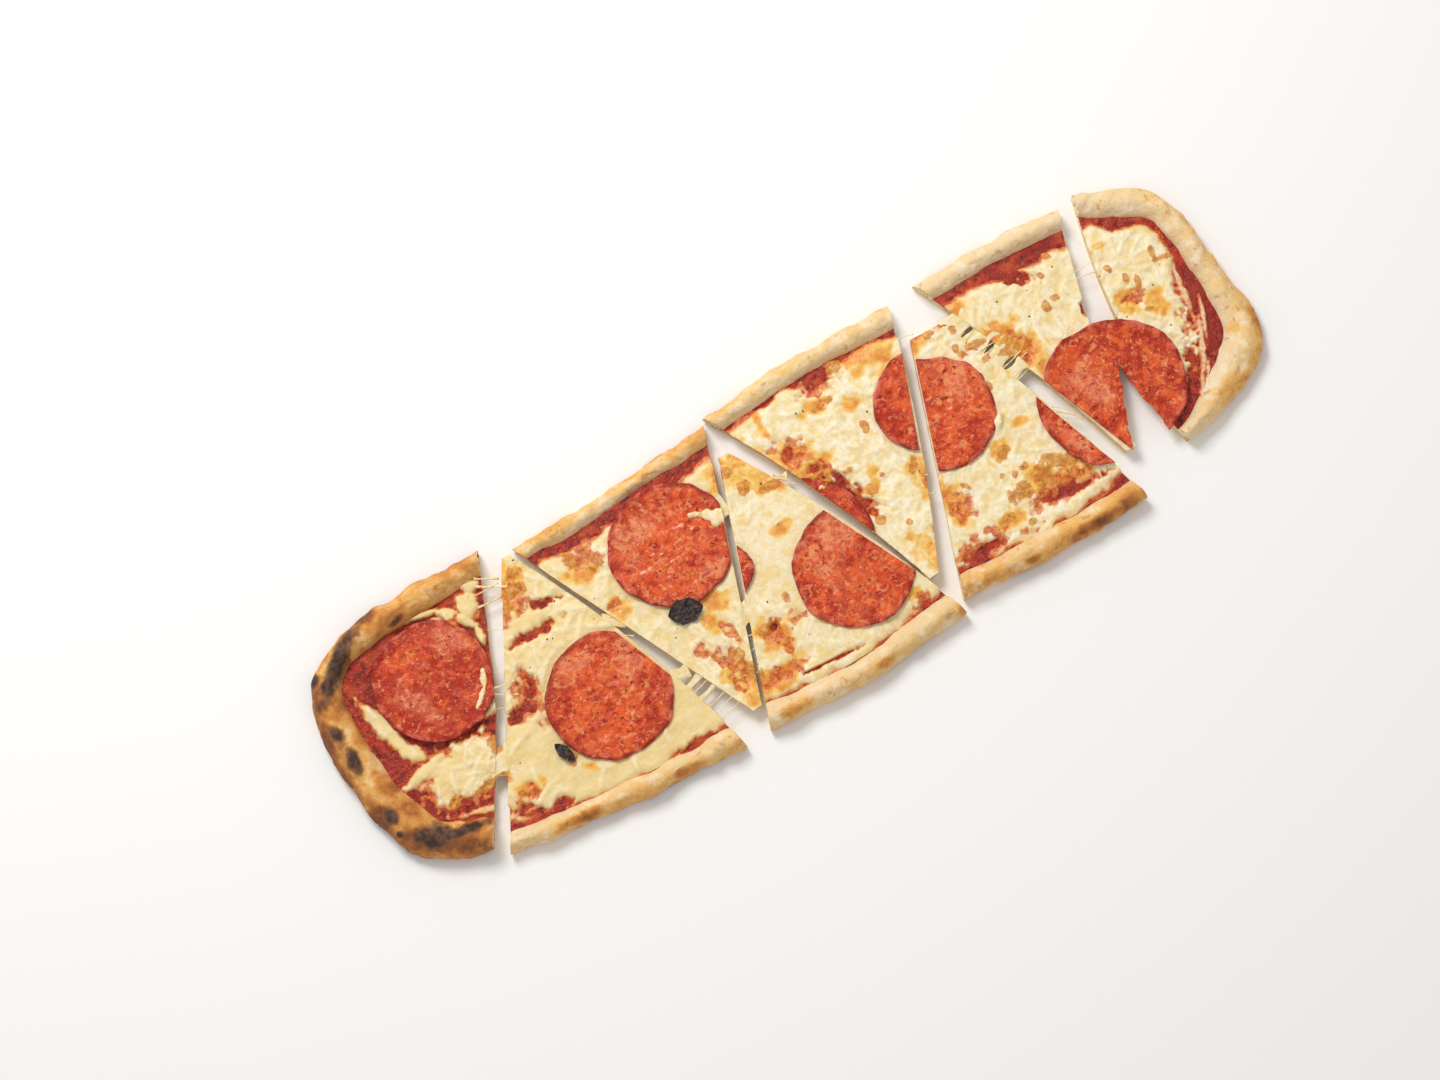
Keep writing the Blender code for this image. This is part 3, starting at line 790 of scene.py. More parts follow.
# Browned: blisters of cheese.
BROWNED = (
    (-131, 33, 5, 3, 0), (-140, 28, 4, 3, 0), (-128, 41, 4, 3, 0), (-100, 34, 3, 5, 0),
    (-90, 26, 5, 3, 0), (-49, -50, 4, 3, 0), (-46, -60, 3, 6, 0), (-12, 34, 5, 3, 0),
    (-6, 23, 3.5, 3, 0), (6, 17, 6, 2, 0), (-14, -36, 2, 2.5, 0), (-30, -45, 6, 2.5, 0),
    (1, -2, 2, 1, 0), (46, 41, 2.2, 2.5, 0), (52, 41, 2.5, 2, 0), (62, 55, 5, 3, 0),
    (44, 5, 2.4, 1.6, 0), (62, 21, 2, 2.8, 0), (50, -10, 2, 2, 0), (46, -25, 2.5, 3, 0),
    (58, -33, 1.6, 1.6, 0), (58, -5, 1.6, 1.6, 0), (74, -8, 2, 4, -30), (33, 8, 2.5, 5, 0),
    (116, -24, 4, 4, 0), (115, -47, 5, 4, 0), (128, -45, 4.5, 7, 0), (103, -55, 3, 2.2, 0),
    (112, -62, 2.2, 2, 0), (109, -47, 2, 3, 0), (110, -35, 1.6, 1.6, 0), (116, -37, 1.6, 1.6, 0),
    (122, -36, 2.5, 1.6, 0), (138, -41, 9, 3, -25), (122, 33, 2, 2, 0), (125, 42, 1.8, 2.2, 0),
    (123, 29, 1.4, 1.4, 0), (133, 21, 2.2, 2.2, 0), (127, 8, 1.6, 2.6, 0), (172.6, 29.3, 2.2, 3, 0),
    (178.2, 31.4, 2, 2, 0), (178.1, 44.6, 1.7, 1.7, 0), (145.5, 25.3, 3, 1.6, 0),
    (148.3, 19.2, 7, 3, 0), (189.3, 17.1, 2, 4.5, 0), (131, 30, 6, 2, 0), (185.4, 52.7, 2.2, 2, 0),
    (217, 4, 2.2, 1.7, 0), (209.3, 31.4, 1.7, 2.2, 0), (215.2, 23.2, 1.7, 3, 0),
    (233.2, 28.3, 1.3, 3.4, 0), (237.2, 23.2, 6, 1.2, -8), (219.1, 18.2, 1.6, 3.4, -20),
    (-176, -30, 3, 4, 0), (-185, -46, 9, 2.2, 5), (-206, -46, 3, 3, 0), (92, -31, 3.5, 0.9, -50),
    (102, 46, 3, 3, 0), (114, 46, 3, 2, 0), (-84, 42, 3, 2.5, 0), (-146, -52, 3, 5, 0),
)
# How yellow the cheese of each slice is.
WARMTH = {1: 0.95, 2: 0.95, 3: 0.6, 4: 0.4, 5: 0.15, 6: 0.2, 7: 0.3, 8: 0.3}
# Thin streaks of cheese that ran over the bare sauce.
STREAKS = (
    (238, 7, 1.5, 20, -8), (240, -12, 1.0, 13, -20), (231.7, -25.5, 1.6, 14, -24),
    (221.5, -43.8, 1.3, 10, -30), (227, -40, 0.9, 8, -32), (-196, -56, 12, 1.6, -14),
    (-168, -66, 8, 1.4, 6), (-150, -8, 1.5, 6, 20), (-155, -25, 3, 1.6, 40), (150, -55, 9, 1.6, 4),
    (128, -60, 8, 1.4, -6), (-92, 52, 12, 1.2, 4), (60, 62, 14, 1.2, 2), (-206, -30, 8, 1.4, 50),
    (-172, 20, 1.6, 10, 10), (-170, 38, 8, 1.5, -20),
)
# Tongues of cheese that ran up over the pepperoni.
TONGUES = (
    (-24, 16.5, 5, 5, -29), (-28, 19, 5, 3.4, -29), (-33, 22, 4.5, 1.8, -29),
    (-164.8, 1.5, 2, 6, -21), (-171.5, -7.2, 2.2, 8, -49), (-166, 34, 2, 5, 20),
    (122, -10, 4, 2, 50), (30, 4, 3, 1.6, 0),
)
# The band of bare sauce inside the rim: its width where each crust starts, half way and ends.
BANDS = {
    1: (9, 9, 9), 2: (5, -1, 1), 3: (7, 8, 7), 4: (1, 0, 2),
    5: (3, 2.5, 4), 6: (4, 0, 4), 7: (8, 9, 8), 8: (7, 6, 7),
}
print("spots:", len(BARE), "bare,", len(STAINED), "stained,")
print("and", len(THIN), "thin,", len(BROWNED), "browned")

# %% [markdown]
# ## Where the pepperoni lies
#
# The cheese has to know where the rounds are, because it lies flat under them. So their plan
# comes first: middle, half length and half width, and the cuts that trim each one, as a slice's
# number and which of its two cuts.

# %% The plan of the rounds
SALAMI = {
    "pepperoni_1": {"centre": (-192, 21), "radii": (30, 30.5), "trims": ((1, 0),)},
    "pepperoni_2": {"centre": (-119, -27.5), "radii": (31.5, 32), "trims": ((2, 1),)},
    "pepperoni_3": {"centre": (-56, 23.5), "radii": (32, 31), "trims": ((3, 1),)},
    "pepperoni_3_end": {"centre": (-51, -0.5), "radii": (26, 18), "trims": ((4, 0),)},
    "pepperoni_4": {"centre": (18.5, -29.5), "radii": (31.5, 31), "trims": ((4, 1),)},
    "pepperoni_4_end": {"centre": (4.5, -9.5), "radii": (33, 33), "trims": ((5, 0),)},
    "pepperoni_5": {"centre": (93.5, 17), "radii": (29.5, 29.5), "trims": ((6, 0),)},
    "pepperoni_5_end": {"centre": (89.5, 26.5), "radii": (25.5, 25.5), "trims": ((5, 1),)},
    "pepperoni_6": {"centre": (177, -15), "radii": (36.5, 34), "trims": ((7, 0),)},
    "pepperoni_6_end": {"centre": (169.5, -16.5), "radii": (33, 33), "trims": ((6, 1),)},
}


def under_salami(x, y, room):
    """1 where a round of pepperoni lies over the point, with room to spare, and 0 elsewhere."""
    result = np.zeros(np.shape(x))
    for spec in SALAMI.values():
        (cx, cy), (a, b) = spec["centre"], spec["radii"]
        near = 1 - np.hypot((x - cx) / a, (y - cy) / b)
        result = np.maximum(result, ease((near * a + room) / 2.5))
    return result


print("rounds:", len(SALAMI), "pieces")

# %% [markdown]
# ## How much cheese lies where
#
# The cover starts behind a band of bare sauce inside the rim, wanders with noise, and loses the
# bare spots. Shreds that melted only half leave soft ridges, so each slice gets a few dozen of
# them at random angles, from a seed of its own so that they never change.


# %% The cover of the cheese
def three_point(values, s):
    """A smooth run through three values, at the start, half way and at the end."""
    first, middle, last = values
    return first * (1 - s) * (1 - 2 * s) + middle * 4 * s * (1 - s) + last * s * (2 * s - 1)


def shred_ridges(plan, x, y, count):
    """Soft ridges where shreds of cheese melted only half, each a short bent line."""
    draw = np.random.default_rng(40 + plan.number)
    ridge = np.zeros(np.shape(x))
    shares = draw.random((count, 2)) * (1, 0.85) + (0, 0.12)
    spots = [plan.place(np.array([a]), np.array([[b]]))[0, 0] for a, b in shares]
    angles, lengths = draw.random(count) * math.pi, draw.uniform(4, 10, count)
    for (cx, cy), angle, length in zip(spots, angles, lengths):
        along = (x - cx) * math.cos(angle) + (y - cy) * math.sin(angle)
        over = (y - cy) * math.cos(angle) - (x - cx) * math.sin(angle) + 0.02 * along**2
        ridge = np.maximum(ridge, ease(1.4 - np.abs(along) / length) * np.exp(-((over / 1.3) ** 2)))
    return ridge


def cheese_cover(plan, x, y, depth, s):
    """How much cheese lies at each point: 1 where it is thick, 0 where the sauce is bare."""
    wander = 2.2 * lumps(x, y, 0, 9, 31) + 1.2 * lumps(x, y, 0, 3.5, 32)
    band = depth - plan.rim_width(s)[:, None] - three_point(BANDS[plan.number], s)[:, None]
    if plan.number == 1:
        cover = blots(x, y, CHEESE_PATCHES, 0.34, 4, 0.7, 8)
    else:
        cover = ease((band + wander) / 5.5 + 0.5) * (1 - blots(x, y, BARE, 0.45, 3.5, 0.8, 9))
    cover = np.maximum(cover, 0.5 * blots(x, y, STREAKS, 0.4, 3, 1.0, 10))
    return np.maximum(cover, under_salami(x, y, -3.0))


print("cheese patches on the first slice:", len(CHEESE_PATCHES), "and streaks:", len(STREAKS))

# %% [markdown]
# ## A layer of sauce or cheese
#
# A layer is a top grid with four walls and a flat floor. The walls can bulge, which the cheese
# uses and the sauce doesn't.


# %% Layers
def layer(name, top, low, values, material, bulge=None):
    """A closed layer: its top grid, four walls down to the level low, and a flat floor."""
    grids, stored = [top], {key: [value] for key, value in values.items()}
    for number, side in enumerate(SIDES):
        edge = top[side]
        side_wall = wall(edge, edge * (1, 1, 0) + (0, 0, low), 4)
        if bulge is not None:
            side_wall = side_wall + bulge(number, side_wall, values["cover"][side])
        grids.append(side_wall)
        for key, value in values.items():
            stored[key].append(np.broadcast_to(value[side][:, None], side_wall.shape[:2]))
    floor = np.concatenate([grid[:-1, -1] for grid in grids[1:]])
    return build(name, grids, floor, stored, material)


print("layers have", 1 + len(SIDES), "grids and a floor")

# %% [markdown]
# ## The sauce
#
# Sauce is spread with the back of a ladle, so it is a little lumpy. Its outer edge runs into the
# rim's foot, so the line where it meets the bread wanders as the dough does.

# %% Making the sauce of one slice
SAUCE_TOP = 6.8
# Where the sauce is deepest in colour.
DEEP = (
    (-217, 16, 6, 17, 0), (-214, -42, 14, 8, -35), (241.8, -7.2, 8, 26, -12),
    (163.4, 52.7, 14, 5, -38), (185.6, 58.8, 9, 4, 0), (-160, -26, 5, 5, 0), (-127, 20, 6, 3, -12),
    (140, -57, 14, 4, 0), (43, 5, 6, 8, 20), (-100, 52, 16, 3, 3), (40, 60, 26, 3, 3),
    (225.4, 46.6, 5, 12, 30),
)


def make_sauce(plan, material):
    """The sauce of one slice."""
    s = plan.columns()[::2]
    xy = plan.place(s, plan.inside_rim(s, -1.6, np.linspace(0, 1, 80)))
    x, y = xy[..., 0], xy[..., 1]
    z = SAUCE_TOP + 0.35 * lumps(x, y, 0, 7, 51) + 0.34 * lumps(x, y, 0, 3, 52)
    z = z + 0.2 * lumps(x, y, 0, 1.6, 53) - 0.5 * under_salami(x, y, 0) - 0.25
    values = {"deep": blots(x, y, DEEP, 0.5, 5, 1.2, 54)}
    name = plan.name.replace("slice", "sauce")
    item = layer(name, np.dstack([xy, z]), BASE_TOP + 0.1, values, material)
    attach(item, "root")
    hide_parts(plan.name + "_sauce")
    return item


print("deep sauce:", len(DEEP), "places")

# %% [markdown]
# ## The cheese
#
# The cheese's height follows its cover, with lumps, ridges and blisters on top and a flat bed
# under each round. Its walls bulge a little over the cut, as cheese does when it sets after the
# cutter has gone through, and tuck in below, so the sauce shows under it as a thin red line.

# %% Making the cheese of one slice
CHEESE_TOP = 9.0
CHEESE_BOTTOM = 5.6
SALAMI_BOTTOM = 9.35
ROUND_ROWS, WEDGE_ROWS = 81, 121  # from the rim to the tip
SHREDS = 90  # on each slice


def make_cheese(plan, material):
    """The cheese of one slice."""
    s = plan.columns()
    rows = ROUND_ROWS if plan.round else WEDGE_ROWS
    t = plan.inside_rim(s, -1.0, np.linspace(0, 1, rows))
    xy = plan.place(s, t)
    depth = t * plan.rays(s)[2][:, None]
    x, y = xy[..., 0], xy[..., 1]
    cover = cheese_cover(plan, x, y, depth, s)
    thin = blots(x, y, THIN, 0.45, 6, 0.9, 14) + 0.25 * lumps(x, y, 0, 11, 15) - 0.05
    thin = np.clip(thin, 0, 1)
    browned = blots(x, y, BROWNED, 0.35, 3, 0.7, 16)
    ridge = shred_ridges(plan, x, y, SHREDS)
    free = 1 - under_salami(x, y, 0.5)  # 0 under the pepperoni
    stained = blots(x, y, STAINED, 0.5, 4, 1.0, 18)
    stained = stained * np.clip(0.75 + 0.7 * lumps(x, y, 0, 3.2, 19), 0, 1)
    relief = 0.36 * lumps(x, y, 0, 9, 33) + 0.34 * lumps(x, y, 0, 4, 34)
    relief += 0.16 * lumps(x, y, 0, 2, 35)
    relief += 0.5 * ridge * (1 - stained) - 0.35 * thin + 0.3 * browned
    relief += stained * (0.55 * lumps(x, y, 0, 2.6, 37) - 0.9)
    z = SAUCE_TOP - 0.8 + (CHEESE_TOP - SAUCE_TOP + 0.8) * cover**0.7 + relief * cover * free
    z = np.where(free < 0.5, np.minimum(z, CHEESE_TOP + 0.05), z)
    tongue = blots(x, y, TONGUES, 0.35, 3, 0.9, 38)
    z += tongue * (SALAMI_BOTTOM + 2.3 + 0.25 * lumps(x, y, 0, 3, 39) - z)
    top = np.dstack([xy, z])
    spacing = np.linalg.norm(top[1] - top[0], axis=-1)
    for column, outward in ((0, plan.outward[0]), (-1, plan.outward[1])):
        shift = 0.45 * cover[column] - 0.3 * np.clip(spacing / 0.8, 0, 1) * (1 - cover[column])
        top[column, :, :2] += outward * shift[:, None]

    def bulge(side, grid, cover_there):
        """How far each point of a wall moves. Only the walls at the two cuts bulge."""
        k = np.linspace(0, 1, grid.shape[1])[None, :]
        if side not in (1, 3):
            return np.zeros(grid.shape)
        outward = np.append(plan.outward[1 if side == 1 else 0], 0)
        drip = 0.4 * lumps(grid[..., 0], grid[..., 1], 0, 4, 36)
        out = cover_there[:, None] * np.sin(math.pi * k) * (0.35 + drip) - 0.75 * k**2
        return out[..., None] * outward * (k > 0)[..., None]

    values = {
        "cover": cover,
        "thin": thin,
        "browned": browned,
        "ridge": ridge,
        "stained": stained,
        "warm": np.full(x.shape, WARMTH[plan.number]),
    }
    name = plan.name.replace("slice", "cheese")
    item = layer(name, top, CHEESE_BOTTOM, values, material, bulge)
    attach(item, "root")
    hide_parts(plan.name + "_cheese")
    return item


print("tongues over the pepperoni:", len(TONGUES))

# %% [markdown]
# ## The finish of the sauce
#
# Baked tomato sauce is deep red, glossy where it is wet, with paler flecks of pulp. Two sizes of
# noise mix its reds, and a third one sets how wet it is.

# %% The sauce's material
sauce_finish, start = new_material("tomato_sauce")
pulp = start.noise(3.4, 4.0, 0.65)
sauce_colour = pulp.above(0.36, 0.62).blend(tone(112, 18, 10), tone(186, 50, 24))
flecks = start.noise(1.5, 3.0, 0.6).above(0.58, 0.72)
sauce_colour = (flecks * 0.7).blend(sauce_colour, tone(214, 96, 48))
patches = start.noise(11, 3.0, 0.6).above(0.50, 0.66)
sauce_colour = (patches * 0.55).blend(sauce_colour, tone(206, 84, 30))
deep = start.attribute("deep") + (start.noise(2.4, 3.0, 0.6) - 0.5) * 0.9
sauce_colour = (deep.above(0.30, 0.90) * 0.6).blend(sauce_colour, tone(138, 20, 14))
sauce_relief = (pulp * 2.0 + start.noise(1.0, 3.0)).bump(0.6)
finish_material(
    start,
    {
        "Base Color": sauce_colour,
        "Roughness": start.noise(4, 2.0).above(0.3, 0.7) * 0.2 + 0.22,
        "Normal": sauce_relief,
        "Specular IOR Level": 0.38,
    },
)
sauces = [make_sauce(plan, sauce_finish) for plan in plans]
print("sauce:", sum(len(item.data.polygons) for item in sauces), "faces")

# %% [markdown]
# ## The finish of the cheese
#
# Mozzarella is cream where it lies thick. Where it is thin, the sauce and the oil from the
# sausage colour it yellow and orange, so its colour follows its cover. Blisters brown from straw
# to dark. A little light goes into the cheese and comes out again, which keeps it from looking
# like chalk.

# %% The cheese's material
cheese_finish, start = new_material("melted_mozzarella")
fine = start.noise(1.6, 3.0, 0.6) - 0.5
cover = start.attribute("cover")
thin = start.attribute("thin") + (start.noise(3.2, 4.0, 0.6) - 0.5) * 0.8
thin = thin - start.attribute("ridge") * 0.25
browned = start.attribute("browned") + fine * 0.8
cloud = (start.noise(8, 3.0, 0.6) * 0.6 + start.noise(2.4, 3.0) * 0.4).above(0.40, 0.60)
cream = cloud.blend(tone(241, 213, 150), tone(250, 239, 211))
cream = (start.attribute("warm") * 0.8).blend(cream, tone(238, 208, 140))
cream = (start.attribute("ridge").above(0.2, 0.9) * 0.45).blend(cream, tone(250, 238, 206))
cream = (start.noise(5, 3.0, 0.6).above(0.54, 0.70) * 0.5).blend(cream, tone(232, 198, 116))
oily = thin.above(0.25, 0.75).blend(cream, tone(243, 192, 92))
oily = (thin.above(0.65, 1.15) * 0.85).blend(oily, tone(224, 126, 46))
film = start.noise(2.2, 4.0, 0.65).above(0.36, 0.64)
red_film = film.blend(tone(182, 54, 20), tone(234, 136, 54))
red_film = (start.noise(1.4, 3.0).above(0.58, 0.70) * 0.7).blend(red_film, tone(246, 196, 112))
stain = start.attribute("stained") + fine * 0.7
cheese_colour = (stain.above(0.25, 0.70) * 0.9).blend(oily, red_film)
melted = (cover + fine * 0.4).above(0.16, 0.72)
cheese_colour = melted.blend(film.blend(tone(186, 56, 24), tone(230, 132, 60)), cheese_colour)
blister = start.noise(2.6, 3.0, 0.6).above(0.40, 0.62).blend(tone(202, 116, 32), tone(232, 170, 74))
cheese_colour = (browned.above(0.15, 0.60) * 0.85).blend(cheese_colour, blister)
ring = browned.above(0.15, 0.50) * browned.above(1.10, 0.60)
cheese_colour = (ring * 0.3).blend(cheese_colour, tone(196, 122, 36))
cheese_colour = (browned.above(0.90, 1.30) * 0.8).blend(cheese_colour, tone(156, 92, 20))
cheese_relief = (start.noise(1.1, 4.0, 0.6) + start.noise(3.0, 3.0) * 1.4).bump(0.3)
finish_material(
    start,
    {
        "Base Color": cheese_colour,
        "Roughness": thin.above(0.2, 0.8) * -0.16 + 0.46,
        "Specular IOR Level": 0.4,
        "Normal": cheese_relief,
        "Subsurface Weight": 0.12,
        "Subsurface Scale": 0.003,
        "Subsurface Radius": (1.0, 0.6, 0.3),
    },
)

cheeses = [make_cheese(plan, cheese_finish) for plan in plans]
print("cheese:", sum(len(item.data.polygons) for item in cheeses), "faces")

# %% [markdown]
# ## The rounds of pepperoni
#
# A round of sausage is a thin disc. In the oven its edge shrinks, waves and curls up, its fat
# grains melt and leave pale pits, and red oil pools in its middle. We turn a profile round the
# disc, in rings close enough for the relief. How far a point is out, how oily it is and how pale
# it is, from its fat and from painted sheen, are stored on the points for the material.

# %% Making a round
SALAMI_THICKNESS = 1.25
SALAMI_COLUMNS, SALAMI_RINGS = 133, 40  # round the disc, and over its top
OIL_POOLS = (
    (-63, 8, 9, 8, 0), (-55, -2, 8, 3, 0), (-105, -42, 8, 6, 0), (25, -48, 12, 7, 0),
    (3, -34, 3, 8, 0), (203, -31, 3.5, 5, 0), (-195, 30, 14, 6, 0), (104, 10, 5, 10, 0),
    (-45, 18, 7, 5, 0), (168, 2, 10, 4, 0), (-110, -24, 8, 5, 0), (182, -8, 8, 4, 20),
    (205, -15, 3, 8, 0),
)
# Pale places on the rounds: pale fat, and pale patches of painted sheen.
PALE_FAT_AND_SHEEN = (
    (-170, 28, 8, 9, 0), (-199, 6, 4, 14, 20), (112, 16, 9, 12, 0), (-72, 30, 5, 14, 0),
    (170, -17, 8, 12, 20), (8, -26, 5, 14, 10), (-98, -25, 7, 9, 0), (-125, -14, 12, 6, 0),
    (20, -12, 8, 5, 0), (-40, -6, 10, 5, 0), (152, -38, 4, 10, 20), (-8, -55, 5, 5, 0),
    (21, -20, 14, 8, -32), (-202, 8, 9, 4, -50), (-62, 28, 12, 6, 20), (172, -12, 8, 13, -15),
    (170, -10, 5, 9, -15),
)
# How dark the meat of a round is, where it isn't 0.
SALAMI_SHADE = {
    "pepperoni_1": 0.95,
    "pepperoni_4_end": 0.5,
    "pepperoni_5_end": 0.3,
    "pepperoni_6": 0.35,
}


def round_of_salami(name, spec, seed, shade, material):
    """A whole round. Its profile runs out along the underside, round the edge, and back in."""
    angles = np.linspace(0, 2 * math.pi, SALAMI_COLUMNS)
    below, over = np.linspace(0, 0.94, 5), np.linspace(0.975, 0, SALAMI_RINGS)
    reach = np.concatenate([below, [0.985, 1.0, 1.0, 0.99], over])
    height = np.concatenate([np.zeros(5), [0.05, 0.3, 0.75, 0.95], np.ones(SALAMI_RINGS)])
    angle, r = np.meshgrid(angles, reach, indexing="ij")
    up = np.broadcast_to(height[None, :], r.shape)
    (cx, cy), (a, b) = spec["centre"], spec["radii"]
    c, s = np.cos(angle), np.sin(angle)
    wave = lumps(1.6 * c, 1.6 * s, 0, 1, seed + 60)
    crimp = 1 + 0.040 * wave + 0.024 * lumps(c * 4, s * 4, 0, 1, seed + 61)
    crimp = crimp + 0.010 * lumps(c * 12, s * 12, 0, 1, seed)
    x, y = cx + a * r * c * crimp, cy + b * r * s * crimp
    drape = 0.25 * lumps(x, y, 0, 16, 62)
    curl = np.clip(0.65 + 1.0 * wave + 0.35 * lumps(c * 5, s * 5, 0, 1, seed + 61), 0, 1.6) * r**7
    grain = 0.36 * lumps(x, y, 0, 4.2, 63) + 0.26 * lumps(x, y, 0, 1.9, 64)
    grain = grain - 0.25 * ease((r - 0.93) / 0.07)
    casing = 0.28 * np.exp(-(((r - 0.975) / 0.018) ** 2))
    z = SALAMI_BOTTOM + drape + curl + up * (SALAMI_THICKNESS + grain + casing)
    z = np.maximum(z, SALAMI_BOTTOM - 0.1)
    values = {
        "rind": [r**3],
        "oil": [blots(x, y, OIL_POOLS, 0.45, 5, 0.9, 65)],
        "pale": [blots(x, y, PALE_FAT_AND_SHEEN, 0.5, 6, 1.1, 66)],
        "shade": [shade],
    }
    return build(name, [np.dstack([x, y, z])], None, values, material, sharp=60)


print("oil:", len(OIL_POOLS), "pools, pale fat:", len(PALE_FAT_AND_SHEEN), "places")

# %% [markdown]
# ## Cutting and tearing a round
#
# The cutter went through the rounds with the bread, so a round is trimmed by the same planes as
# its slice. The last round was not cut through. It tore when two slices were drawn apart, so a
# ragged wedge is taken out of it with a Boolean modifier.

# %% Cuts and the tear
TEAR = ((184.5, -4.5), (165, -58), (192, -58))  # the inner end of the tear, and its two outer ends
TEAR_STEPS = 24
TEAR_FLOOR, TEAR_HEIGHT = 4.0, 12.0  # where the wedge that is taken out starts, and how tall it is


def apply_modifiers(item):
    """Turns what a piece's modifiers make into its own mesh, and removes them."""
    evaluated = item.evaluated_get(bpy.context.evaluated_depsgraph_get())
    mesh = bpy.data.meshes.new_from_object(evaluated)
    item.modifiers.clear()
    item.data = mesh


def trim(item, plan, cut):
    """Cuts a round off at one cut of a slice, and closes the cut face."""
    near, far = plan.place(np.array([float(cut)]), np.array([[0.25, 0.8]]))[0]
    along = (far - near) / np.linalg.norm(far - near)
    normal = np.array([along[1], -along[0], 0.0])
    if normal[:2] @ plan.outward[cut] < 0:
        normal = -normal
    bm = bmesh.new()
    bm.from_mesh(item.data)
    everything = list(bm.verts) + list(bm.edges) + list(bm.faces)
    plane = {"plane_co": metres([*near, 0]), "plane_no": normal}
    bmesh.ops.bisect_plane(bm, geom=everything, dist=1e-7, clear_outer=True, **plane)
    bmesh.ops.holes_fill(bm, edges=[edge for edge in bm.edges if edge.is_boundary])
    bm.to_mesh(item.data)
    bm.free()


def tear_open(item):
    """Takes a ragged wedge out of a round."""
    tip, left_end, right_end = np.array(TEAR)
    k = np.arange(TEAR_STEPS + 1)[:, None]
    left = tip + (left_end - tip) * k / TEAR_STEPS
    right = right_end + (tip - right_end) * k[:-1] / TEAR_STEPS
    outline = np.vstack([left, right])
    outline[:, 0] += 0.9 * lumps(outline[:, 0], outline[:, 1], 0, 4, 67)
    bm = bmesh.new()
    face = bm.faces.new([bm.verts.new(metres([x, y, TEAR_FLOOR])) for x, y in outline])
    made = bmesh.ops.extrude_face_region(bm, geom=[face])["geom"]
    raised = [part for part in made if isinstance(part, bmesh.types.BMVert)]
    bmesh.ops.translate(bm, vec=(0, 0, TEAR_HEIGHT * MM), verts=raised)
    bm.normal_update()
    bmesh.ops.recalc_face_normals(bm, faces=bm.faces)
    mesh = bpy.data.meshes.new("tear")
    bm.to_mesh(mesh)
    bm.free()
    cutter = bpy.data.objects.new("tear", mesh)
    bpy.context.scene.collection.objects.link(cutter)
    boolean = item.modifiers.new("tear", "BOOLEAN")
    boolean.operation = "DIFFERENCE"
    boolean.object = cutter
    apply_modifiers(item)
    bpy.data.objects.remove(cutter, do_unlink=True)


print("tear:", round(math.dist(TEAR[1], TEAR[2])), "mm wide at its outer end")

# %% [markdown]
# ## The finish of the pepperoni
#
# The meat is a mottled brick red. Pale fat grains of two sizes lie in it, its edge is darker with
# pink painted highlights, pale pink patches of painted sheen lie on it, and the oil pools are a
# brighter orange red. Oil makes it glossy, so it gets a coat.

# %% The pepperoni's material
salami_finish, start = new_material("pepperoni")
coarse = start.noise(8, 5.0, 0.62)
meat = coarse * 0.55 + start.noise(3.2, 4.0, 0.6) * 0.45 - start.attribute("shade") * 0.07
salami_colour = meat.above(0.40, 0.60).blend(tone(176, 38, 12), tone(232, 94, 36))
rosy = start.attribute("pale") * 0.6 + start.noise(13, 3.0, 0.6).above(0.48, 0.64) * 0.35
salami_colour = (rosy * 0.8).blend(salami_colour, tone(230, 112, 70))
# Painted sheen: pale pink-white patches that stand for glints on the oily meat.
painted_sheen = start.attribute("pale") * 0.8 + (start.noise(2.6, 5.0, 0.7) - 0.5) * 2.4
salami_colour = (painted_sheen.above(0.55, 1.35) * 0.6).blend(salami_colour, tone(244, 168, 134))
pool = start.attribute("oil") + (start.noise(3.4, 3.0, 0.6) - 0.5) * 0.9
salami_colour = (pool.above(0.30, 0.85) * 0.85).blend(salami_colour, tone(218, 70, 18))
salami_colour = (pool.above(0.85, 1.30) * 0.8).blend(salami_colour, tone(238, 140, 52))
fat_size = start.noise(3.6, 3.0, 0.5, 0.8) + start.attribute("pale") * 0.07
fat_size = fat_size - start.attribute("shade") * 0.05
fat = fat_size.above(0.55, 0.66)
salami_colour = (fat * 0.6).blend(salami_colour, tone(242, 156, 98))
small_fat = start.noise(1.7, 2.0, 0.5, 0.4).above(0.62, 0.71)
salami_colour = (small_fat * 0.5).blend(salami_colour, tone(248, 184, 130))
dark_fleck = start.noise(2.4, 3.0, 0.6).above(0.30, 0.42)
salami_colour = dark_fleck.blend(tone(138, 26, 14), salami_colour)
rind = (start.attribute("rind") + (start.noise(3, 3.0) - 0.5) * 0.35).above(0.66, 0.98)
# The edge: a dark crimson rind, with pink painted highlights where it curls.
rind_and_highlight_colour = start.noise(6, 3.0).above(0.46, 0.64).blend(tone(142, 20, 14), tone(226, 110, 84))
salami_colour = (rind * 0.85).blend(salami_colour, rind_and_highlight_colour)
salami_relief = (start.noise(1.1, 3.0, 0.6) + start.noise(2.6, 3.0) * 1.6).bump(0.55)
finish_material(
    start,
    {
        "Base Color": salami_colour,
        "Roughness": fat * 0.12 + 0.34,
        "Normal": salami_relief,
        "Specular IOR Level": 0.25,
        "Coat Weight": pool.above(0.2, 0.8) * 0.3 + 0.1,
        "Coat Roughness": 0.16,
    },
)

print("pepperoni's material:", len(salami_finish.node_tree.nodes), "nodes")

# %% [markdown]
# ## The ten pieces of pepperoni
#
# Each piece is made whole, cut where its slice is cut, and handed over in the place of its node
# in the frame.

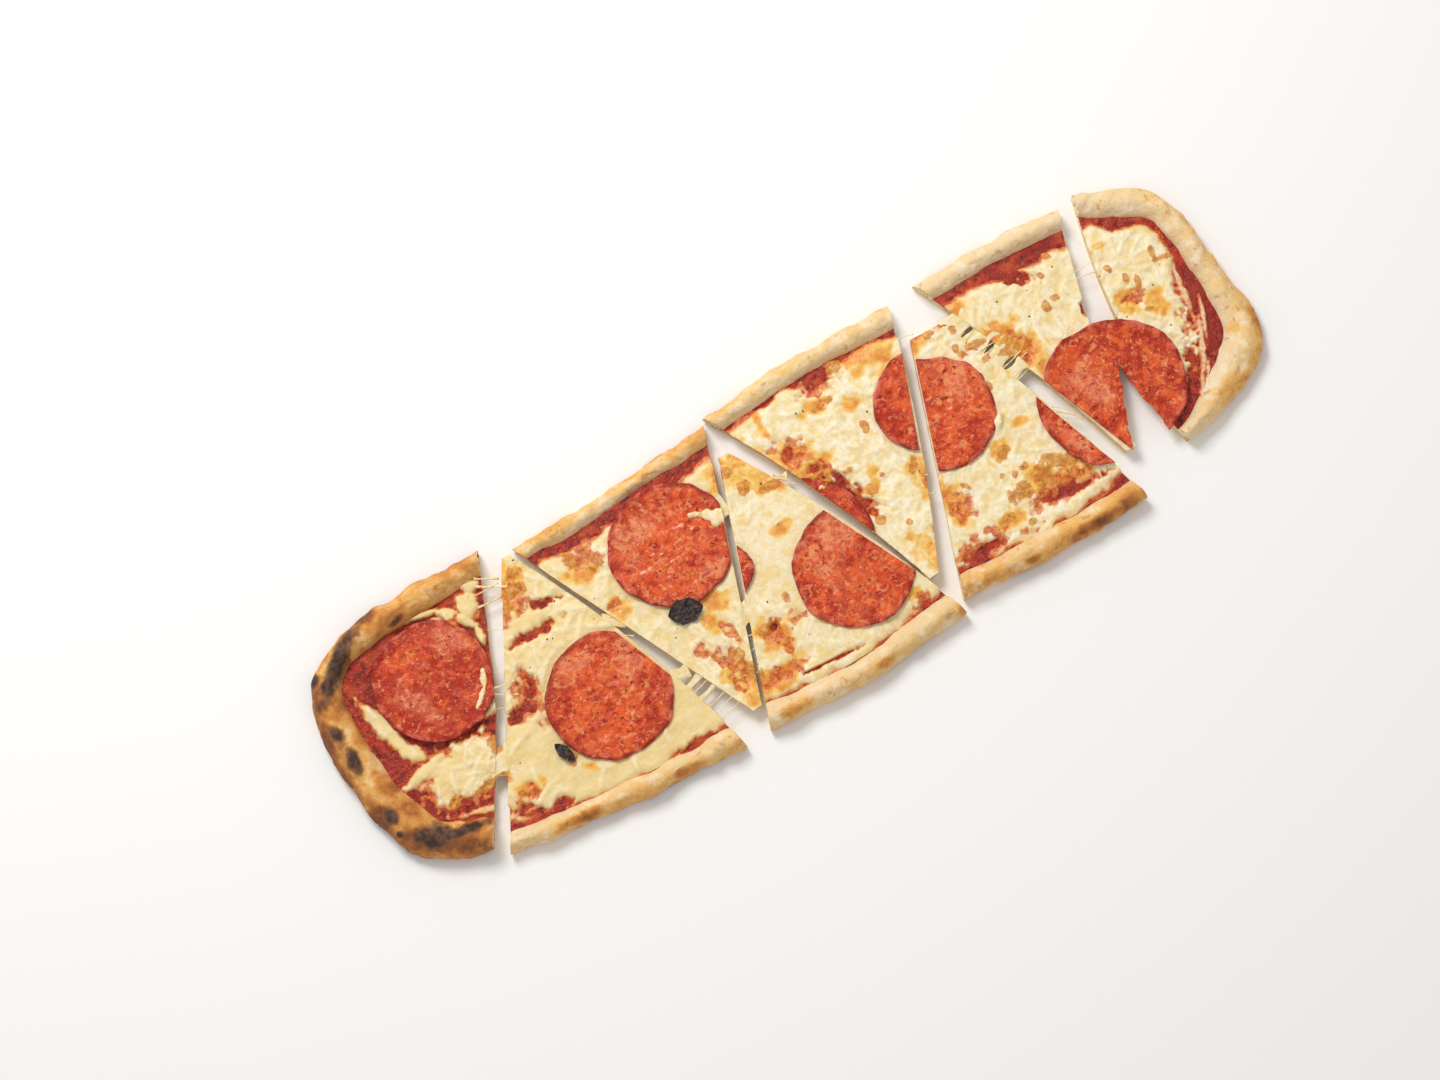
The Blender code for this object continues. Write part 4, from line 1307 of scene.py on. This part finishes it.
# %% The ten pieces
for seed, (name, spec) in enumerate(SALAMI.items()):
    shade = SALAMI_SHADE.get(name, 0)
    item = round_of_salami(name.replace("pepperoni", "salami"), spec, seed, shade, salami_finish)
    for number, cut in spec["trims"]:
        trim(item, plans[number - 1], cut)
    if name == "pepperoni_6":
        tear_open(item)
    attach(item, "root")
    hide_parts(name)
    print(item.name, len(item.data.polygons), "faces")

# %% [markdown]
# ## Charred basil
#
# Two basil leaves went into the oven with the pizza and burnt. A charred leaf is a thin sheet,
# crumpled at every size, with a curled edge and a midrib.

# %% The leaves
# Each leaf: its middle, length and width, turn, and how far its upper side leans on a round.
LEAVES = {
    "leaf_1": {"centre": (-66, -9), "size": (18, 12), "turn": -12, "lean": 3.2},
    "leaf_2": {"centre": (-152, -41.5), "size": (13, 5.5), "turn": -68, "lean": 0.6},
}
LEAF_THICKNESS = 0.45
LEAF_LEVEL = 10.6  # the middle of a leaf, before it is crumpled


def make_leaf(name, spec, seed, material):
    """One crumpled leaf, as a thin sheet."""
    length, width = spec["size"]
    u, v = np.meshgrid(np.linspace(-1, 1, 49), np.linspace(-1, 1, 33), indexing="ij")
    uneven = 1 + 0.14 * lumps(u * 5, v * 0 + seed, 0, 1, 71)
    half_width = width / 2 * (1 - np.abs(u) ** 2.2) * uneven + 0.35
    x, y = u * length / 2, v * half_width
    crumple = 0.9 * lumps(x, y, seed, 4.2, 72) + 0.6 * lumps(x, y, seed, 1.9, 73)
    crumple = crumple + 0.25 * lumps(x, y, seed, 0.9, 74)
    rib = 0.5 * np.exp(-((y / 0.5) ** 2)) - 0.25 * np.abs(lumps(x, np.abs(y), seed, 2.2, 75))
    curled = 0.7 * np.abs(v) ** 4
    z = LEAF_LEVEL + crumple + rib + spec["lean"] * (v / 2 + 0.5) + curled
    turned = math.radians(spec["turn"])
    c, s = math.cos(turned), math.sin(turned)
    cx, cy = spec["centre"]
    upper = np.dstack([cx + x * c - y * s, cy + x * s + y * c, z])
    grids = sheet(upper, upper - (0, 0, LEAF_THICKNESS))
    item = build(name.replace("leaf", "basil"), grids, None, {}, material)
    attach(item, "root")
    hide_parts(name)
    return item


leaf_finish, start = new_material("charred_basil")
ash = start.noise(1.6, 4.0, 0.7)
leaf_colour = ash.above(0.42, 0.66).blend(tone(30, 21, 18), tone(98, 80, 76))
leaf_colour = start.noise(3.5, 2.0).above(0.58, 0.70).blend(leaf_colour, tone(104, 44, 22))
leaf_relief = start.noise(0.7, 4.0, 0.7).bump(0.5)
finish_material(
    start, {"Base Color": leaf_colour, "Roughness": ash * 0.4 + 0.35, "Normal": leaf_relief}
)
for seed, (name, spec) in enumerate(LEAVES.items()):
    make_leaf(name, spec, seed, leaf_finish)
print("leaves:", len(LEAVES))

# %% [markdown]
# ## The paths of the cheese strings
#
# Where slices were drawn apart, cheese stretched into strings. Each one starts on one slice,
# sags a little and ends on the next, and it is thinnest half way. All the paths go into one mesh
# of edges, with the radius stored on each point.

# %% String paths
STRING_POINTS = 15
# Each string: from u, v to u, v, its radius, and how far it sags.
STRINGS = (
    ((-146, 48), (-135, 42), 0.8, 1.0), ((-147, 44), (-133, 36), 1.0, 1.2),
    ((-151, 34), (-138, 33), 0.8, 1.4), ((-150, 40), (-136, 40), 0.5, 1.0),
    ((-163, -5), (-152, -7), 0.8, 0.6), ((-164, -8), (-154, -14), 0.5, 0.8),
    ((-170, -14), (-157, -17), 0.35, 1.0), ((-166, -2), (-156, 3), 0.3, 1.2),
    ((-152, 22), (-143, 17), 0.3, 1.5), ((-80, -56), (-66, -52), 0.6, 0.8),
    ((-78, -62), (-64, -57), 0.45, 1.2), ((-77, -66), (-63, -62), 0.5, 1.6),
    ((-76, -70), (-62, -66), 0.4, 2.0), ((-74, -74), (-60, -70), 0.5, 2.4),
    ((-98, -10), (-90, -16), 0.5, 0.6), ((-100, -2), (-93, -2), 0.6, 0.4),
    ((-46, -42), (-38, -44), 0.4, 1.2), ((-50, -52), (-40, -50), 0.35, 1.6),
    ((-52, -60), (-42, -62), 0.5, 1.8), ((10, 21), (16, 17), 0.7, 0.4),
    ((12, 17), (18, 12), 0.45, 0.8), ((71, -6), (80, -9), 0.6, 0.8),
    ((70, -12), (78, -16), 0.4, 1.2), ((68, -22), (77, -26), 0.4, 1.6),
    ((147, -14), (157, -22), 0.5, 0.8), ((149, -18), (158, -26), 0.6, 1.0),
    ((151, -23), (160, -29), 0.35, 1.4), ((132, 26), (146, 27), 0.6, 0.5),
    ((134, 23), (147, 27), 0.4, 0.7), ((136, 12), (150, 16), 0.6, 0.5),
    ((138, 9), (152, 14), 0.4, 0.8), ((128, 34), (141, 40), 0.5, 0.4),
    ((139, 3), (154, 8), 0.5, 0.8), ((122, 46), (133, 50), 0.4, 0.6),
    ((192, 35), (206, 33), 0.5, 0.6), ((190, 38), (207, 39), 0.3, 1.0),
    ((98, 52), (107, 50), 0.5, 0.8), ((152, -30), (163, -34), 0.3, 1.4),
)


def string_paths():
    """One mesh of edges only, a path of points for each string, with each point's radius."""
    points, edges, radii = [], [], []
    k = np.linspace(0, 1, STRING_POINTS)
    for number, ((u0, v0), (u1, v1), radius, sag) in enumerate(STRINGS):
        x = MIDDLE[0] + u0 + (u1 - u0) * k + 0.35 * lumps(k * 3, number, 0, 1, 81)
        y = MIDDLE[1] + v0 + (v1 - v0) * k + 0.35 * lumps(k * 3, number, 5, 1, 82)
        z = CHEESE_TOP - 0.5 - sag * 4 * k * (1 - k)
        first = len(points)
        points += np.stack([x, y, z], axis=1).tolist()
        edges += [(first + n, first + n + 1) for n in range(STRING_POINTS - 1)]
        radii += (radius * (1 - 0.55 * np.sin(math.pi * k) ** 0.7)).tolist()
    mesh = bpy.data.meshes.new("cheese_strings")
    mesh.from_pydata(metres(points).tolist(), edges, [])
    attribute = mesh.attributes.new("radius_mm", "FLOAT", "POINT")
    attribute.data.foreach_set("value", radii)
    item = bpy.data.objects.new("cheese_strings", mesh)
    bpy.context.scene.collection.objects.link(item)
    return item


print("strings:", len(STRINGS))

# %% [markdown]
# ## Geometry Nodes from a script
#
# A tree of Geometry Nodes is built with the same class as a material. Its inputs get names, so
# that it reads like a tool with settings. It ends in two nodes: one makes all copies real, and
# one gives them their material. The modifier's inputs are set by identifier, since a name is
# only a label there, and the result is then kept as a plain mesh.


# %% Helpers for Geometry Nodes
def new_tree(name, inputs):
    """A Geometry Nodes tree with named inputs, and what flows in by each name."""
    tree = bpy.data.node_groups.new(name, "GeometryNodeTree")
    tree.interface.new_socket("Geometry", in_out="INPUT", socket_type="NodeSocketGeometry")
    for label, kind, value in inputs:
        socket = tree.interface.new_socket(label, in_out="INPUT", socket_type=kind)
        if value is not None:
            socket.default_value = value
    tree.interface.new_socket("Geometry", in_out="OUTPUT", socket_type="NodeSocketGeometry")
    entry = tree.nodes.new("NodeGroupInput")
    return tree, {socket.name: Flow(tree, socket) for socket in entry.outputs if socket.name}


def end_tree(geometry, material):
    """Makes all copies real, gives them their material, and sends them out of the tree."""
    real = geometry.node("GeometryNodeRealizeInstances", None, {"Geometry": geometry})
    dressed = real.node("GeometryNodeSetMaterial", None, {"Geometry": real, "Material": material})
    dressed.node("NodeGroupOutput", None, {"Geometry": dressed})


def grow(item, tree, values):
    """Runs a tree on a piece with these values, and keeps the result as its plain mesh."""
    modifier = item.modifiers.new(tree.name, "NODES")
    modifier.node_group = tree
    for socket in tree.interface.items_tree:
        if socket.in_out == "INPUT" and socket.name in values:
            modifier[socket.identifier] = values[socket.name]
    apply_modifiers(item)
    return item


print("helpers:", new_tree.__name__, end_tree.__name__, grow.__name__)

# %% [markdown]
# ## The cheese strings
#
# Each path becomes a curve, and a small circle is swept along it, scaled by the radius that was
# stored on the path.


# %% Strings, by Geometry Nodes
def string_tree():
    """Sweeps a circle along each path of a mesh."""
    inputs = (("Sides", "NodeSocketInt", 8), ("Material", "NodeSocketMaterial", None))
    tree, given = new_tree("cheese_strings", inputs)
    start = Flow(tree)
    curve = start.node("GeometryNodeMeshToCurve", None, {"Mesh": given["Geometry"]})
    radius = start.node(
        "GeometryNodeInputNamedAttribute", {"data_type": "FLOAT"}, {"Name": "radius_mm"}
    )
    circle = start.node(
        "GeometryNodeCurvePrimitiveCircle", None, {"Resolution": given["Sides"], "Radius": 1.0}
    )
    swept = {"Curve": curve, "Profile Curve": circle, "Scale": radius * MM, "Fill Caps": True}
    tube = start.node("GeometryNodeCurveToMesh", None, swept)
    smooth = start.node("GeometryNodeSetShadeSmooth", None, {"Geometry": tube})
    end_tree(smooth, given["Material"])
    return tree


string_finish, start = new_material("cheese_string")
pull = start.noise(2.5, 3.0)
string_colour = pull.above(0.4, 0.6).blend(tone(240, 202, 116), tone(250, 234, 190))
finish_material(
    start,
    {
        "Base Color": string_colour,
        "Roughness": 0.4,
        "Subsurface Weight": 0.2,
        "Subsurface Scale": 0.003,
    },
)

strings = grow(string_paths(), string_tree(), {"Sides": 8, "Material": string_finish})
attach(strings, "root")
print("strings:", len(STRINGS), "in", len(strings.data.polygons), "faces")

# %% [markdown]
# ## Webs of cheese
#
# Where the cheese was thick it stretched into webs: strips that are pulled into strands, sag
# and neck in between the slices. Several webs side by side leave small windows between them.
# Each is a thin sheet with the cheese's own finish, so it blends with the cheese at both ends.

# %% Webs
# Each web: the middles of its two ends, its width there, how far it necks in, and how oily it is.
WEBS = (
    ((-184, -38), (-171, -40), 17, 0.25, 0.0), ((-100, -3), (-90, -6), 9, 0.35, 0.3),
    ((-84, -43), (-74, -44), 7, 0.3, 0.2), ((-27, 24), (-18, 25), 22, 0.10, 0.2),
    ((-38, -32), (-31, -33), 14, 0.2, 0.0), ((11, 19), (16, 17), 5, 0.4, 0.0),
    ((120, 42), (137, 46), 13, 0.2, 0.1), ((125.5, 28.5), (143, 35.3), 13.5, 0.24, 0.0),
    ((74, -10), (79, -12), 6, 0.4, 0.8), ((-64, -28), (-72, -30), 12, 0.3, 0.2),
    ((130.5, 16.5), (146.5, 22.3), 13, 0.24, 0.1), ((135.5, 6.5), (149, 10.7), 7.5, 0.3, 0.3),
    ((-80, -52), (-68, -48), 4, 0.3, 0.1), ((-77, -60), (-65, -56), 3, 0.4, 0.0),
)


def make_web(number, web, material):
    """One web. Its number decides where along it the web is narrowest."""
    first, last, width, neck, oil = web
    first, last = np.array(first) + MIDDLE, np.array(last) + MIDDLE
    along = last - first
    side = np.array([-along[1], along[0]]) / np.linalg.norm(along)
    k, j = np.meshgrid(np.linspace(0, 1, 25), np.linspace(-1, 1, 33), indexing="ij")
    x0, y0 = first[0] + along[0] * k, first[1] + along[1] * k
    pinch = np.sin(math.pi * k ** (0.6 + 0.35 * (number % 4))) ** 3
    half_width = width / 2 * (1 - neck * pinch) + 0.6 * lumps(k * 3, np.sign(j), number, 1, 91)
    x, y = x0 + side[0] * j * half_width, y0 + side[1] * j * half_width
    edge = (1 - np.abs(j) ** 3) ** 0.5
    strand = lumps(j * 4.5 + 0.4 * k, 0.5 * k, number, 1, 94)  # it runs the length of the web
    arch = np.sin(math.pi * k)
    taper = ease(np.minimum(k, 1 - k) / 0.16 + 0.2)
    thick = 0.25 + edge * taper * (1.4 + (0.7 * strand - 0.5) * arch)
    middle = CHEESE_TOP - 0.8 - (0.8 + 0.5 * strand) * arch**2 + 0.25 * lumps(x, y, 0, 4, 92)
    upper = np.dstack([x, y, middle + thick / 2])
    lower = np.dstack([x, y, middle - thick / 2])
    grids = sheet(upper, lower)
    values = {
        "cover": [1.0] * 6,
        "thin": [np.clip(oil + 0.25 * lumps(x, y, 0, 5, 93), 0, 1)] * 2 + [oil] * 4,
        "browned": [blots(x, y, BROWNED, 0.35, 3, 0.7, 16)] * 2 + [0.0] * 4,
        "warm": [0.4] * 6,
        "ridge": [np.clip(strand, 0, 1)] * 2 + [0.0] * 4,
    }
    item = build(f"cheese_web_{number + 1}", grids, None, values, material)
    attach(item, "root")
    return item


webs = [make_web(number, web, cheese_finish) for number, web in enumerate(WEBS)]
print("webs:", len(webs), "with", sum(len(web.data.polygons) for web in webs), "faces")

# %% [markdown]
# ## Flecks of herb, scattered
#
# Flecks of dried oregano lie on the cheese. They repeat, so one Geometry Nodes tree scatters
# them: it draws points on a field, puts a copy of a small model on each, turned and scaled at
# random from a fixed seed, and makes the copies real.


# %% The scatter tree
def scatter_tree():
    """Scatters copies of a piece over a field, turned and scaled at random."""
    inputs = (
        ("Piece", "NodeSocketObject", None),
        ("Density", "NodeSocketFloat", 100.0),
        ("Seed", "NodeSocketInt", 0),
        ("Smallest", "NodeSocketFloat", 0.6),
        ("Largest", "NodeSocketFloat", 1.4),
        ("Material", "NodeSocketMaterial", None),
    )
    tree, given = new_tree("scatter", inputs)
    start = Flow(tree)
    spread = {"Mesh": given["Geometry"], "Density": given["Density"], "Seed": given["Seed"]}
    points = start.node("GeometryNodeDistributePointsOnFaces", None, spread)
    piece = start.node(
        "GeometryNodeObjectInfo", None, {"Object": given["Piece"]}, output="Geometry"
    )
    turn = start.node(
        "FunctionNodeRandomValue",
        {"data_type": "FLOAT_VECTOR"},
        {0: (-0.25, -0.25, 0.0), 1: (0.25, 0.25, 2 * math.pi), "Seed": given["Seed"]},
    )
    size = start.node(
        "FunctionNodeRandomValue",
        {"data_type": "FLOAT"},
        {2: given["Smallest"], 3: given["Largest"], "Seed": given["Seed"]},
        output=1,
    )
    placed = {"Points": points, "Instance": piece, "Rotation": turn, "Scale": size}
    copies = start.node("GeometryNodeInstanceOnPoints", None, placed)
    end_tree(copies, given["Material"])
    return tree


scatter = scatter_tree()
print("scatter tree:", len(scatter.nodes), "nodes")

# %% [markdown]
# ## A field to scatter on
#
# The flecks should lie on the thick cheese and not on the pepperoni, so the field is made of
# those of the cheese's faces that look up, lie high and are clear of the rounds.


# %% The field
def field_of(items, keep, name):
    """A mesh of those of the pieces' faces whose middle keep accepts, to scatter things on."""
    points, faces = [], []
    for item in items:
        mesh = item.data
        place = np.empty(len(mesh.vertices) * 3)
        mesh.vertices.foreach_get("co", place)
        place = place.reshape(-1, 3) / MM + CENTRE
        for polygon in mesh.polygons:
            if polygon.normal.z < 0.7 or len(polygon.vertices) > 4:
                continue
            corners = place[list(polygon.vertices)]
            if keep(*corners.mean(axis=0)):
                faces.append(tuple(range(len(points), len(points) + len(corners))))
                points += metres(corners).tolist()
    mesh = bpy.data.meshes.new(name)
    mesh.from_pydata(points, [], faces)
    field = bpy.data.objects.new(name, mesh)
    bpy.context.scene.collection.objects.link(field)
    return field


def bare_of_salami(x, y, z):
    """Whether a point is on thick cheese and clear of the pepperoni."""
    return z > CHEESE_TOP - 0.7 and under_salami(np.array([x]), np.array([y]), 2.5)[0] < 0.1


oregano = field_of(cheeses, bare_of_salami, "oregano")
print("field:", len(oregano.data.polygons), "faces")

# %% [markdown]
# ## The flecks
#
# A fleck is a tiny bent tube with pointed ends, of a dozen faces, because hundreds of copies are
# made. Its model is deleted once the copies are real.


# %% The flecks
def fleck_model(name, length, wide, high, bend, rings, sides):
    """A small closed model for the scatter to copy."""
    k, a = np.meshgrid(
        np.linspace(-1, 1, rings), np.linspace(0, 2 * math.pi, sides + 1), indexing="ij"
    )
    taper = np.sqrt(np.clip(1 - k**4, 0, 1))
    y = np.cos(a) * wide / 2 * taper + bend * k**2
    grid = np.dstack([k * length / 2, y, np.sin(a) * high / 2 * taper])
    mesh = bpy.data.meshes.new(name)
    quads = grid_quads(rings, sides + 1, 0).tolist()
    mesh.from_pydata((grid.reshape(-1, 3) * MM).tolist(), [], quads)
    weld(mesh)
    mesh.shade_smooth()
    model = bpy.data.objects.new(name, mesh)
    bpy.context.scene.collection.objects.link(model)
    return model


herb_finish, start = new_material("dried_oregano")
herb_colour = start.noise(2.0).blend(tone(70, 66, 30), tone(128, 96, 46))
finish_material(start, {"Base Color": herb_colour, "Roughness": 0.7})

fleck = fleck_model("oregano_model", 1.5, 0.8, 0.3, 0.2, rings=4, sides=6)
OREGANO = {
    "Piece": fleck,
    "Density": 1700.0,  # flecks on a square metre
    "Seed": 5,
    "Smallest": 0.5,
    "Largest": 1.3,
    "Material": herb_finish,
}
grow(oregano, scatter, OREGANO)
bpy.data.objects.remove(fleck, do_unlink=True)
oregano.data.shade_smooth()
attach(oregano, "root")
print("oregano:", len(oregano.data.polygons), "faces")

# %% [markdown]
# ## The end
#

# %% The end
bpy.context.view_layer.update()
